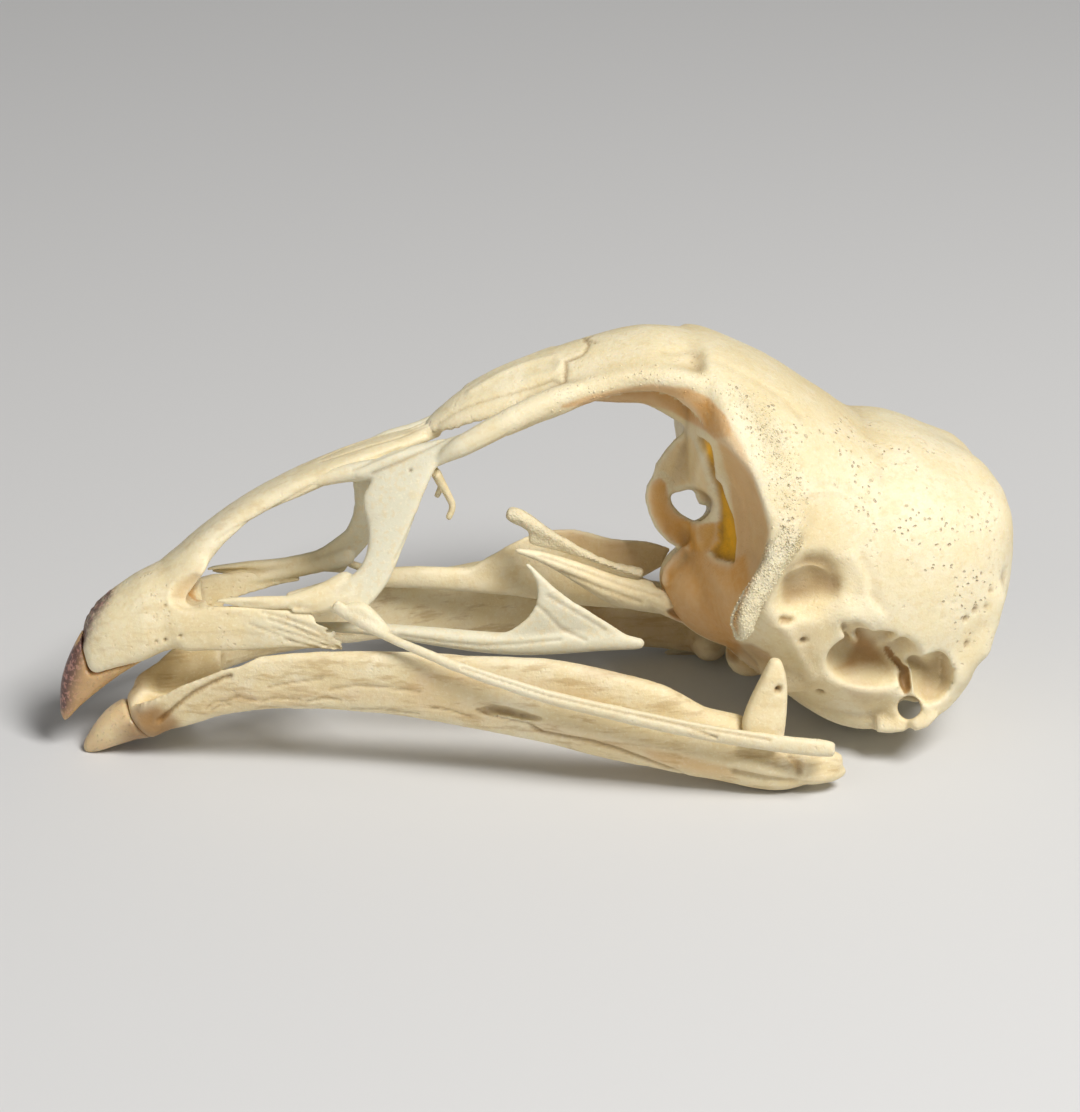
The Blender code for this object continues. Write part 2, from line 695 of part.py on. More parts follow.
SPOON_ROWS = [
    # x, z at the widest, half width, height above it, depth below it
    [-34.1, 0.5, 0.35, 0.3, 0.5],
    [-33.2, 1.5, 0.9, 0.9, 1.1],
    [-32.0, 2.9, 1.4, 1.1, 1.7],
    [-30.6, 4.1, 1.9, 1.3, 2.0],
    [-29.0, 5.2, 2.4, 1.6, 2.1],
    [-27.2, 6.1, 3.0, 1.9, 2.0],
    [-25.4, 6.6, 3.5, 2.0, 1.8],
    [-23.6, 6.9, 3.9, 1.8, 1.4],
]


def jaw_front(room):
    """The part of the lower bill that is horn: its front, cut off along a slant."""
    cut = -30.6
    outline = [(-36.0, -2.0), (cut + 1.6 - room, -2.0), (cut + 1.6 - room, 3.0), (cut - room, 4.8),
               (cut - 1.2 - room, 12.0), (-36.0, 12.0)]
    return prism("jaw_front", outline, 8.0)


def lower_jaw(neighbours):
    """Both rami and the spoon-shaped front, one bone."""
    spoon = hull("mandible", SPOON_ROWS, sides=24)
    pieces = [spoon]
    for side in (LEFT, RIGHT):
        rows = [[x, -y, (low + high) / 2, half, (high - low) / 2] for x, y, low, high, half in JAW_ROWS]
        pieces.append(bar("ramus", on_side(rows, side), sides=14, power=2.6, steps=2))
        pieces.append(ball("inner_process", (16.0, side * 9.2, 2.2), (1.6, 2.6, 1.5), turn=(0, 0, side * -20)))
    cuts = [ball("tongue_bed", (-25.0, 0, 9.0), (6.4, 2.6, 2.6), turn=(0, -12, 0)), jaw_front(0.0)]
    cuts += neighbours
    return fuse("mandible", pieces, cuts, triangles=2600, voxel=0.26)


def lower_horn():
    """The pointed horn tip of the lower bill."""
    tip = overlap_with(hull("horn_lower", SPOON_ROWS, sides=24), jaw_front(GAP))
    bed = ball("tongue_bed", (-25.0, 0, 9.0), (6.4, 2.6, 2.6), turn=(0, -12, 0))
    return fuse("horn_lower", [tip], [bed], voxel=FINE_VOXEL, smoothing=1, triangles=320)


def near_jugal(neighbours):
    """The cheek rod, which dips from the nostril's foot to the jaw's heel."""
    rod = bar("jugal_left", [
        [-16.0, -4.2, 13.9, 0.3, 0.6],
        [-14.6, -4.6, 12.95, 0.35, 0.6],
        [-12.4, -5.8, 12.0, 0.35, 0.42],
        [-10.5, -6.9, 11.45, 0.38, 0.42],
        [-8.4, -7.9, 10.8, 0.4, 0.45],
        [-6.2, -8.7, 10.1, 0.42, 0.5],
        [-3.3, -9.5, 9.3, 0.42, 0.55],
        [-0.6, -10.1, 8.5, 0.45, 0.6],
        [5.0, -11.4, 7.4, 0.5, 0.65],
        [10.6, -12.4, 6.3, 0.5, 0.7],
        [16.1, -13.2, 5.5, 0.5, 0.75],
        [20.6, -13.4, 4.9, 0.6, 0.75],
    ], sides=12)
    return fuse("jugal_left", [rod], neighbours, voxel=0.2, smoothing=1, triangles=520)


def far_jugal(neighbours):
    """The other cheek rod, still in its place beside the skull."""
    rod = bar("jugal_right", [
        [-14.2, 6.4, 13.1, 0.35, 0.4],
        [-10.9, 7.5, 11.8, 0.35, 0.35],
        [-6.8, 8.9, 10.6, 0.4, 0.4],
        [-0.9, 10.8, 9.2, 0.45, 0.45],
        [4.7, 12.2, 8.3, 0.45, 0.5],
        [10.3, 13.3, 7.6, 0.5, 0.5],
        [15.6, 13.9, 7.2, 0.5, 0.5],
    ], sides=10)
    return fuse("jugal_right", [rod], neighbours, voxel=0.2, smoothing=1, triangles=380)


def near_quadrate(neighbours):
    """The quadrate that stands on the jaw's near joint."""
    body = plate("quadrate_left", [
        [16.7, -10.3, 11.1, 15.9, -10.3, 11.1, 0.5],
        [17.2, -10.6, 9.6, 15.2, -10.6, 9.6, 0.8],
        [17.3, -10.9, 7.8, 14.3, -10.9, 7.8, 0.85],
        [17.2, -11.3, 6.2, 13.8, -11.3, 6.4, 0.95],
        [17.0, -11.6, 4.4, 13.6, -11.6, 4.6, 1.0],
    ], sides=12)
    return fuse("quadrate_left", [body], neighbours, voxel=0.22, smoothing=1, triangles=420)


def far_quadrate(neighbours):
    """The quadrate that still hangs under the far ear."""
    body = bar("quadrate_right", [
        [19.8, 10.8, 12.0, 1.2, 1.0],
        [18.6, 11.0, 9.8, 0.9, 0.9],
        [17.4, 10.8, 8.2, 1.0, 1.0],
        [16.2, 10.4, 6.8, 1.5, 1.1],
        [15.6, 10.4, 5.6, 1.5, 1.1],
    ], up=(1, 0, 0), sides=12)
    return fuse("quadrate_right", [body], neighbours, voxel=0.22, smoothing=1, triangles=420)


def side_name(name, side):
    return name + ("_left" if side == LEFT else "_right")


def carriers():
    """The two empties that set the skull and the lower jaw in their resting places."""
    skull = bpy.data.objects.new("skull_pose", None)
    jaw = bpy.data.objects.new("jaw_pose", None)
    for empty in (skull, jaw):
        bpy.context.scene.collection.objects.link(empty)
    pivot = Matrix.Translation(JAW_TIP * MM)
    lean = Matrix.Rotation(math.radians(-SKULL_LEAN), 4, JAW_HEEL - JAW_TIP)
    skull.matrix_world = pivot @ lean @ pivot.inverted()
    jaw.matrix_world = pivot @ Matrix.Rotation(math.radians(JAW_YAW), 4, "Z") @ pivot.inverted()
    return skull, jaw


def rooms(shapes, frame):
    """Cutters for a piece of one frame around its neighbours, each given with its own frame."""
    return [seen_from(grown(shape), place, frame) for shape, place in shapes]


def move_to_middle(shapes, empties):
    """Shifts everything so that the box around it stands with the middle of its floor at zero."""
    corners = []
    for shape in shapes:
        place = shape.parent.matrix_world
        corners += [place @ vertex.co for vertex in shape.data.vertices]
    low = Vector([min(c[i] for c in corners) for i in range(3)])
    high = Vector([max(c[i] for c in corners) for i in range(3)])
    shift = Vector((-(low.x + high.x) / 2, -(low.y + high.y) / 2, -low.z))
    for empty in empties:
        empty.matrix_world = Matrix.Translation(shift) @ empty.matrix_world


def main():
    clear_scene()
    skull, jaw = carriers()
    ground = bpy.data.objects.new("ground_pose", None)
    bpy.context.scene.collection.objects.link(ground)
    lean = skull.matrix_world.copy()
    turn = jaw.matrix_world.copy()
    still = Matrix.Identity(4)
    ivory = material("ivory_bone", IVORY, BONE_ROUGHNESS)
    pale = material("pale_bone", PALE, BONE_ROUGHNESS)
    tan = material("inner_bone", TAN, BONE_ROUGHNESS)
    horn = material("horn", HORN, HORN_ROUGHNESS)

    head = head_bone()
    beam = rostrum(head)
    rod = nose_plate(beam)
    bill = upper_bill(head)
    cap = upper_horn()
    noses = {side: nasal(side, head, bill) for side in (LEFT, RIGHT)}
    hooks = [lacrimal(side, noses[side]) for side in (LEFT, RIGHT)]
    near_palate = near_palatine(bill)
    far_palate = far_palatine(bill, head)

    over_jaw = [(head, lean), (bill, lean), (far_palate, lean), (near_palate, lean)]
    lower = lower_jaw(rooms(over_jaw, turn))
    tip = lower_horn()
    stand = near_quadrate(rooms([(lower, turn), (head, lean)], still))
    by_rail = [(lower, turn), (noses[LEFT], lean), (bill, lean), (stand, still)]
    rail = near_jugal(rooms(by_rail, still))
    hanger = far_quadrate(rooms([(lower, turn), (head, lean)], lean))
    by_far_rail = [(lower, turn), (noses[RIGHT], lean), (bill, lean), (hanger, lean)]
    far_rail = far_jugal(rooms(by_far_rail, lean))

    made = []
    for shape in (head, beam, bill, far_palate, *hooks):
        made.append(finish(shape, ivory, skull))
    for shape in (rod, noses[LEFT], noses[RIGHT], near_palate):
        made.append(finish(shape, pale, skull))
    for shape in (hanger, far_rail):
        made.append(finish(shape, tan, skull))
    made.append(finish(cap, horn, skull))
    made.append(finish(lower, ivory, jaw))
    made.append(finish(tip, horn, jaw))
    for shape in (rail, stand):
        made.append(finish(shape, pale, ground))
    move_to_middle(made, [skull, jaw, ground])


main()
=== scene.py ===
"""The finished look of a hen's skull at life size, on a pale studio floor.

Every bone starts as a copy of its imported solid, is brought to a fine skin, carved and painted
where the real one shows it, and stands for that solid. Lengths are in millimetres until a mesh
is written. Marks are placed by the pixel at which the photograph's camera sees them, in its
frame of 1080 by 1112, and lie on the bone that the camera's ray meets there.
"""
import math

import bpy
import bmesh
import numpy as np
from mathutils import Matrix, Vector
from mathutils.bvhtree import BVHTree


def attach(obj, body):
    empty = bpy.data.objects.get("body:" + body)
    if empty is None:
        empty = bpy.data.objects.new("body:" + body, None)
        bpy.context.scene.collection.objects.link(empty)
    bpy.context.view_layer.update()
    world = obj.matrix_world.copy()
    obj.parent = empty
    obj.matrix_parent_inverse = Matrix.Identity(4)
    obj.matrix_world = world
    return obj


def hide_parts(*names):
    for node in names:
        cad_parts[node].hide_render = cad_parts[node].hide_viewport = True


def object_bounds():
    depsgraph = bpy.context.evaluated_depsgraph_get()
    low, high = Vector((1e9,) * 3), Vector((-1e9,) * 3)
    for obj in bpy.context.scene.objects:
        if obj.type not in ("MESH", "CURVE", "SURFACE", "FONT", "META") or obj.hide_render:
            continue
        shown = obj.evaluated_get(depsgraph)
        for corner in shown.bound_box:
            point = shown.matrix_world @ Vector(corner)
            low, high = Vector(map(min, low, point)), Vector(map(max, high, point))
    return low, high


bl_info = {
    "name": "Hen skull",
    "version": (1, 0, 0),
    "blender": (4, 5, 0),
    "location": "3D View > Sidebar > Skull",
    "description": "Finishes the bones, horn and studio of a hen's skull",
    "category": "Object",
}

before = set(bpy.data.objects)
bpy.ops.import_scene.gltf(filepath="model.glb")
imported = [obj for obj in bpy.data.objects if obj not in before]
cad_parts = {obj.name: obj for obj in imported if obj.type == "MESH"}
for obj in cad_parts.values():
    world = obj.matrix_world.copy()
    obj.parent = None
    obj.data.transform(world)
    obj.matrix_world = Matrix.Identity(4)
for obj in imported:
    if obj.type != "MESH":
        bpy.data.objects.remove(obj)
SOLID_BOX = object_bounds()

MM = 0.001

# The photograph's frame and its camera
PHOTO_WIDTH = 1080
PHOTO_HEIGHT = 1112
SENSOR = 36.0
FOCAL_PIXELS = 4224.0

# How the skull lies: it leans about the line from the jaw's tip to its heel
SKULL_LEAN = math.radians(10.0)
JAW_TIP = Vector((-34.1, 0.0, 0.0))
JAW_HEEL = Vector((17.1, -11.5, 0.0))
MIDDLE_SHIFT = Vector((-0.496, -1.302, -0.134))

# How the meshes are made, in metres where a modifier or an operator takes them
MERGE_DISTANCE = 1e-7
HORN_SKIN_SIZE = 0.00012
LACRIMAL_SKIN_SIZE = 0.0001
JAW_SKIN_SHARE = 1.15
THICK_SMOOTHING = 3
THIN_SMOOTHING = 2

# How far a rod's two caps reach past its end and how wide they are, as shares of its radius
ROD_CAPS = ((0.5, 0.8), (0.8, 0.4))

# Where a bowl's plug starts above the skin, and its depth and width on the way down, as shares
BOWL_TOP = -2.5
BOWL_CURVE = ((0.12, 1.0), (0.4, 0.9), (0.7, 0.72), (0.92, 0.48), (1.0, 0.25))

# Names of the painted marks. The brown and orange-brown marks are the bone's own stains and also
# painted shade in recesses, under the brow and on the far side; the hollow mark is painted shade,
# with some dirt, in hollows, grooves and pores; the ridge mark is a painted highlight
MARKS = ("stain", "rust", "pale", "amber", "pores", "rough", "hollow", "worn", "horn")


def skull_place():
    """The matrix from the upright skull to where it lies, in millimetres."""
    pivot = Matrix.Translation(JAW_TIP)
    lean = Matrix.Rotation(-SKULL_LEAN, 4, JAW_HEEL - JAW_TIP)
    return Matrix.Translation(MIDDLE_SHIFT) @ pivot @ lean @ pivot.inverted()


PLACE = skull_place()
UPRIGHT = PLACE.inverted()
MIRROR = PLACE @ Matrix.Diagonal((1, -1, 1, 1)) @ UPRIGHT


class HenSkullBone(bpy.types.PropertyGroup):
    """Colours and relief of the bone."""
    ivory: bpy.props.FloatVectorProperty(
        name="Ivory", description="Clean bone in full light", subtype="COLOR",
        default=(0.82, 0.72, 0.465))
    cream: bpy.props.FloatVectorProperty(
        name="Cream", description="The lighter, drier patches of the bone", subtype="COLOR",
        default=(0.89, 0.82, 0.62))
    straw: bpy.props.FloatVectorProperty(
        name="Straw", description="The yellower, fattier patches of the bone", subtype="COLOR",
        default=(0.74, 0.58, 0.30))
    chalk: bpy.props.FloatVectorProperty(
        name="Chalk", description="Thin bluish-white blades", subtype="COLOR",
        default=(0.69, 0.685, 0.56))
    # The stain colour is also painted shade: recesses, the underside of the brow, the far side's
    # pieces and the hollows are darkened towards it
    stain: bpy.props.FloatVectorProperty(
        name="Stain", description="Brown stain in the inner parts", subtype="COLOR",
        default=(0.32, 0.175, 0.055))
    # The rust colour is also painted as shade under the brow, in the ear, in the nostril's pocket
    # and on the far side's pieces
    rust: bpy.props.FloatVectorProperty(
        name="Rust", description="Orange-brown inner walls of the eye socket", subtype="COLOR",
        default=(0.65, 0.335, 0.09))
    horn: bpy.props.FloatVectorProperty(
        name="Horn band", description="Purple-brown horn left on the bill's ridge",
        subtype="COLOR", default=(0.13, 0.07, 0.06))
    amber: bpy.props.FloatVectorProperty(
        name="Amber", description="The dried skin at the back of the eye socket", subtype="COLOR",
        default=(0.95, 0.50, 0.006))
    roughness: bpy.props.FloatProperty(
        name="Roughness", description="How dull the bone is", default=0.52, min=0.0, max=1.0,
        subtype="FACTOR")
    grain_height: bpy.props.FloatProperty(
        name="Grain height", description="Height of the bone's fine unevenness", default=0.0001,
        min=0.0, max=0.001, unit="LENGTH", precision=6)
    pore_depth: bpy.props.FloatProperty(
        name="Pore depth", description="Depth of the pores", default=0.00014, min=0.0, max=0.001,
        unit="LENGTH", precision=6)
    granule_density: bpy.props.FloatProperty(
        name="Granules", description="Granules on a square metre of the roughest bone",
        default=2.0e7, min=0.0)
    granule_size: bpy.props.FloatProperty(
        name="Granule size", description="Radius of the largest granule", default=0.000105,
        min=0.00002, max=0.001, unit="LENGTH", precision=6)
    skin_size: bpy.props.FloatProperty(
        name="Skin size", description="Size of a face of the large bones' skin", default=0.000223,
        min=0.00015, max=0.001, unit="LENGTH", precision=6)
    thin_skin_size: bpy.props.FloatProperty(
        name="Thin skin size", description="Size of a face of the thin bones' skin",
        default=0.00014, min=0.0001, max=0.001, unit="LENGTH", precision=6)


class HenSkullHorn(bpy.types.PropertyGroup):
    """Colours of the horn at the bill's tips."""
    clear: bpy.props.FloatVectorProperty(
        name="Clear horn", description="Translucent horn at the tip", subtype="COLOR",
        default=(0.64, 0.42, 0.20))
    pale: bpy.props.FloatVectorProperty(
        name="Pale horn", description="The cream horn of the lower tip", subtype="COLOR",
        default=(0.78, 0.63, 0.38))
    stain: bpy.props.FloatVectorProperty(
        name="Stain", description="Brown stain where the lower horn meets the jaw",
        subtype="COLOR", default=(0.24, 0.11, 0.03))
    dark: bpy.props.FloatVectorProperty(
        name="Dark horn", description="Granular purple-brown band along the ridge",
        subtype="COLOR", default=(0.16, 0.085, 0.07))
    roughness: bpy.props.FloatProperty(
        name="Roughness", description="How dull the horn is", default=0.34, min=0.0, max=1.0,
        subtype="FACTOR")


class HenSkullStudio(bpy.types.PropertyGroup):
    """The floor, the lights and the camera."""
    floor_colour: bpy.props.FloatVectorProperty(
        name="Floor", description="Colour of the plain floor", subtype="COLOR",
        default=(0.66, 0.67, 0.69))
    floor_size: bpy.props.FloatProperty(
        name="Floor size", description="Width of the floor", default=4.0, min=1.0,
        unit="LENGTH")
    key_power: bpy.props.FloatProperty(
        name="Key light", description="Power of the large light above the bill", default=2.40,
        min=0.0, unit="POWER")
    fill_power: bpy.props.FloatProperty(
        name="Fill light", description="Power of the weak light from the other side",
        default=0.42, min=0.0, unit="POWER")
    sky: bpy.props.FloatProperty(
        name="Room light", description="Strength of the light from all around", default=0.145,
        min=0.0, subtype="FACTOR")
    azimuth: bpy.props.FloatProperty(
        name="Azimuth", description="The camera's turn about the skull",
        default=math.radians(-9.82), subtype="ANGLE")
    elevation: bpy.props.FloatProperty(
        name="Elevation", description="The camera's height above the floor as an angle",
        default=math.radians(25.99), subtype="ANGLE")
    roll: bpy.props.FloatProperty(
        name="Roll", description="The camera's turn about its own line of sight",
        default=math.radians(2.29), subtype="ANGLE")
    distance: bpy.props.FloatProperty(
        name="Distance", description="From the camera to the point it looks at", default=0.32,
        min=0.05, unit="LENGTH")


CAMERA_TARGET = Vector((0.066, 1.196, 13.734))


def camera_axes(studio):
    """The camera's place in millimetres and its right, up and forward directions."""
    turn, rise, roll = studio.azimuth, studio.elevation, studio.roll
    back = Vector((math.sin(turn) * math.cos(rise), -math.cos(turn) * math.cos(rise),
                   math.sin(rise)))
    level = Vector((math.cos(turn), math.sin(turn), 0.0))
    over = level.cross(-back)
    right = level * math.cos(roll) + over * math.sin(roll)
    up = over * math.cos(roll) - level * math.sin(roll)
    return CAMERA_TARGET + back * studio.distance / MM, right, up, -back


def sight(u, v):
    """The ray from the camera through a pixel of the photograph."""
    place, right, up, forward = camera_axes(bpy.context.scene.hen_skull_studio)
    way = (forward + right * ((u - PHOTO_WIDTH / 2) / FOCAL_PIXELS)
           - up * ((v - PHOTO_HEIGHT / 2) / FOCAL_PIXELS))
    return place, way.normalized()


def on_side(u, v, across):
    """Where a pixel's ray meets the plane at a distance across the upright skull."""
    start, way = sight(u, v)
    start, way = UPRIGHT @ start, UPRIGHT.to_3x3() @ way
    return start + way * ((across - start.y) / way.y)


def mirrored_side(rows):
    """The same rows on the other side of the skull."""
    return [(row[0], -row[1], *row[2:]) for row in rows]


def turns(mirrored):
    """The near side alone, or the near side and then the far one."""
    return (False, True) if mirrored else (False,)


def photo_rows(rows):
    """Rows of pixel, distance across and radius turned into upright x, y, z and radius."""
    return [(*on_side(u, v, across), radius) for u, v, across, radius in rows]


# Meshes

def link(name, data):
    """A new object of some data in the scene."""
    made = bpy.data.objects.new(name, data)
    bpy.context.scene.collection.objects.link(made)
    return made


def settle(shape):
    """Makes what the modifiers give the shape's own mesh."""
    seen = shape.evaluated_get(bpy.context.evaluated_depsgraph_get())
    mesh = bpy.data.meshes.new_from_object(seen)
    shape.modifiers.clear()
    old = shape.data
    shape.data = mesh
    bpy.data.meshes.remove(old)
    return shape


def copy_of(node, name):
    """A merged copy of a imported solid, with its facets rounded off."""
    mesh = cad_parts[node].data.copy()
    mesh.materials.clear()
    work = bmesh.new()
    work.from_mesh(mesh)
    bmesh.ops.remove_doubles(work, verts=work.verts, dist=MERGE_DISTANCE)
    work.to_mesh(mesh)
    work.free()
    shape = link(name, mesh)
    soft = shape.modifiers.new("soft", "SUBSURF")
    soft.levels = 1
    soft.render_levels = 1
    return settle(shape)


def solid(name, points, faces):
    """A closed helper mesh from points in millimetres."""
    mesh = bpy.data.meshes.new(name)
    mesh.from_pydata([tuple(Vector(p) * MM) for p in points], [], faces)
    work = bmesh.new()
    work.from_mesh(mesh)
    bmesh.ops.triangulate(work, faces=work.faces)
    bmesh.ops.recalc_face_normals(work, faces=work.faces)
    work.to_mesh(mesh)
    work.free()
    return link(name, mesh)


def rod(rows, sides=10):
    """A closed rod through x, y, z and radius rows, with rounded ends."""
    path = curve_through(rows)
    for end, next_in in ((0, 1), (-1, -2)):
        tip, radius = Vector(path[end][:3]), path[end][3]
        out = (tip - Vector(path[next_in][:3])).normalized() * radius
        caps = [[*(tip + out * reach), radius * share] for reach, share in ROD_CAPS]
        path = caps[::-1] + path if end == 0 else path + caps
    points = []
    for i, (*spot, radius) in enumerate(path):
        along = Vector(path[min(i + 1, len(path) - 1)][:3]) - Vector(path[max(i - 1, 0)][:3])
        side = along.cross(Vector((0, 0, 1))).normalized()
        over = side.cross(along).normalized()
        for k in range(sides):
            turn = 2 * math.pi * k / sides
            out = side * math.cos(turn) * radius + over * math.sin(turn) * radius
            points.append(PLACE @ (Vector(spot) + out))
    rings = len(path)
    return solid("rod", points, tube_faces(rings, sides) + end_faces(rings, sides))


def rod_pair(rows):
    """The same rod on both sides."""
    return [rod(rows), rod(mirrored_side(rows))]


def tube_faces(rings, sides, inward=False):
    """The faces between rings of points, each ring with so many sides."""
    faces = []
    for low in range(0, (rings - 1) * sides, sides):
        for k in range(sides):
            n = (k + 1) % sides
            face = (low + k, low + n, low + sides + n, low + sides + k)
            faces.append((face[0], face[3], face[2], face[1]) if inward else face)
    return faces


def end_faces(rings, sides, inward=False):
    """The two faces that close the first and the last of some rings of points."""
    first, last = tuple(range(sides)), tuple(range((rings - 1) * sides, rings * sides))
    return [first, last[::-1]] if inward else [first[::-1], last]


def plate(outline, across, thickness):
    """A flat piece along the upright skull's side plane, from an outline of pixels."""
    flat = [on_side(u, v, across) for u, v in outline]
    half = Vector((0, thickness / 2, 0))
    points = [PLACE @ (p - half) for p in flat] + [PLACE @ (p + half) for p in flat]
    count = len(flat)
    faces = [tuple(range(count)), tuple(reversed(range(count, 2 * count)))]
    faces += [(i, count + i, count + (i + 1) % count, (i + 1) % count) for i in range(count)]
    return solid("plate", points, faces)


def core(shape, outline, levels, mirrored=False, anchor=None, deepest=None):
    """A plug along the line of sight, from an outline of pixels, that starts at the shape.

    Each level gives its depth below the shape in millimetres and its size as a share, by which
    it draws in towards the deepest pixel.
    """
    tree = BVHTree.FromObject(shape, bpy.context.evaluated_depsgraph_get())
    middle = Vector((sum(p[0] for p in outline), sum(p[1] for p in outline))) / len(outline)
    start, way = sight(*(anchor or middle))
    spot = tree.ray_cast(start * MM, way)[0]
    if spot is None:
        raise ValueError("no bone at this pixel: %s" % (anchor or middle,))
    reach = (spot / MM - start).length
    centre = Vector(deepest) if deepest else middle
    points = []
    for depth, share in levels:
        for u, v in outline:
            p = centre + (Vector((u, v)) - centre) * share
            start, way = sight(*p)
            points.append(start + way * (reach + depth))
    if mirrored:
        points = [MIRROR @ p for p in points]
    rings, sides = len(levels), len(outline)
    faces = end_faces(rings, sides, True) + tube_faces(rings, sides, True)
    return solid("core", points, faces)


def bowl(shape, outline, depth, mirrored=False, anchor=None, deepest=None):
    """A rounded hollow with a sharp rim."""
    levels = [(BOWL_TOP, 1.0)] + [(down * depth, share) for down, share in BOWL_CURVE]
    return core(shape, outline, levels, mirrored, anchor, deepest)


def dish(shape, pixel, radii, sunk, mirrored=False):
    """An egg shape that dips into the shape at a pixel, for a soft dent."""
    tree = BVHTree.FromObject(shape, bpy.context.evaluated_depsgraph_get())
    start, way = sight(*pixel)
    spot, normal = tree.ray_cast(start * MM, way)[:2]
    middle = UPRIGHT @ (spot / MM + normal * (min(radii) - sunk))
    if mirrored:
        middle.y = -middle.y
    mesh = bpy.data.meshes.new("dish")
    work = bmesh.new()
    bmesh.ops.create_icosphere(work, subdivisions=3, radius=1.0)
    egg = Matrix.Translation(middle) @ Matrix.Diagonal((*radii, 1.0))
    bmesh.ops.transform(work, matrix=Matrix.Scale(MM, 4) @ PLACE @ egg, verts=work.verts)
    work.to_mesh(mesh)
    work.free()
    return link("dish", mesh)


def lump(shape, rows, mirrored=False, sides=10):
    """A rod laid on the shape, through rows of pixel, radius and depth of its middle."""
    tree = BVHTree.FromObject(shape, bpy.context.evaluated_depsgraph_get())
    rays = [sight(u, v) for u, v, _, _ in rows]
    spots = [tree.ray_cast(start * MM, way)[0] for start, way in rays]
    met = [i for i, spot in enumerate(spots) if spot is not None]
    if not met:
        raise ValueError("no bone at these pixels: %s" % (rows,))
    path = []
    for i, ((start, way), (_, _, radius, sunk)) in enumerate(zip(rays, rows)):
        nearest = min(met, key=lambda j: abs(j - i))
        reach = (spots[nearest] / MM - rays[nearest][0]).length
        at = UPRIGHT @ (start + way * (reach + sunk))
        path.append((at.x, -at.y if mirrored else at.y, at.z, radius))
    return rod(path, sides)


def both(make, *values, **named):
    """The same plug on the near side and on the far side."""
    return [make(*values, **named), make(*values, mirrored=True, **named)]


def curve_through(rows, steps=4):
    """Rows of numbers joined by a smooth curve, with so many steps between two rows."""
    out = []
    last = len(rows) - 1
    for i in range(last):
        a, b, c, d = (rows[max(i - 1, 0)], rows[i], rows[i + 1], rows[min(i + 2, last)])
        for s in range(steps):
            t = s / steps
            out.append([
                0.5 * (2 * q + (r - p) * t + (2 * p - 5 * q + 4 * r - w) * t * t
                       + (3 * q - p - 3 * r + w) * t ** 3)
                for p, q, r, w in zip(a, b, c, d)])
    out.append(list(rows[-1]))
    return out


def boolean_with(shape, others, operation):
    """One Boolean of the shape with a collection of others, which are then removed."""
    group = bpy.data.collections.new("others")
    bpy.context.scene.collection.children.link(group)
    for other in others:
        group.objects.link(other)
        bpy.context.scene.collection.objects.unlink(other)
    change = shape.modifiers.new("change", "BOOLEAN")
    change.operation = operation
    change.operand_type = "COLLECTION"
    change.collection = group
    change.solver = "EXACT"
    settle(shape)
    for other in others:
        bpy.data.objects.remove(other)
    bpy.data.collections.remove(group)


def fine_skin(shape, size, smoothing):
    """Rebuilds the shape as an even skin of small faces and smooths it."""
    grid = shape.modifiers.new("grid", "REMESH")
    grid.mode = "VOXEL"
    grid.voxel_size = size
    soft = shape.modifiers.new("soft", "SMOOTH")
    soft.factor = 0.5
    soft.iterations = smoothing
    return settle(shape)


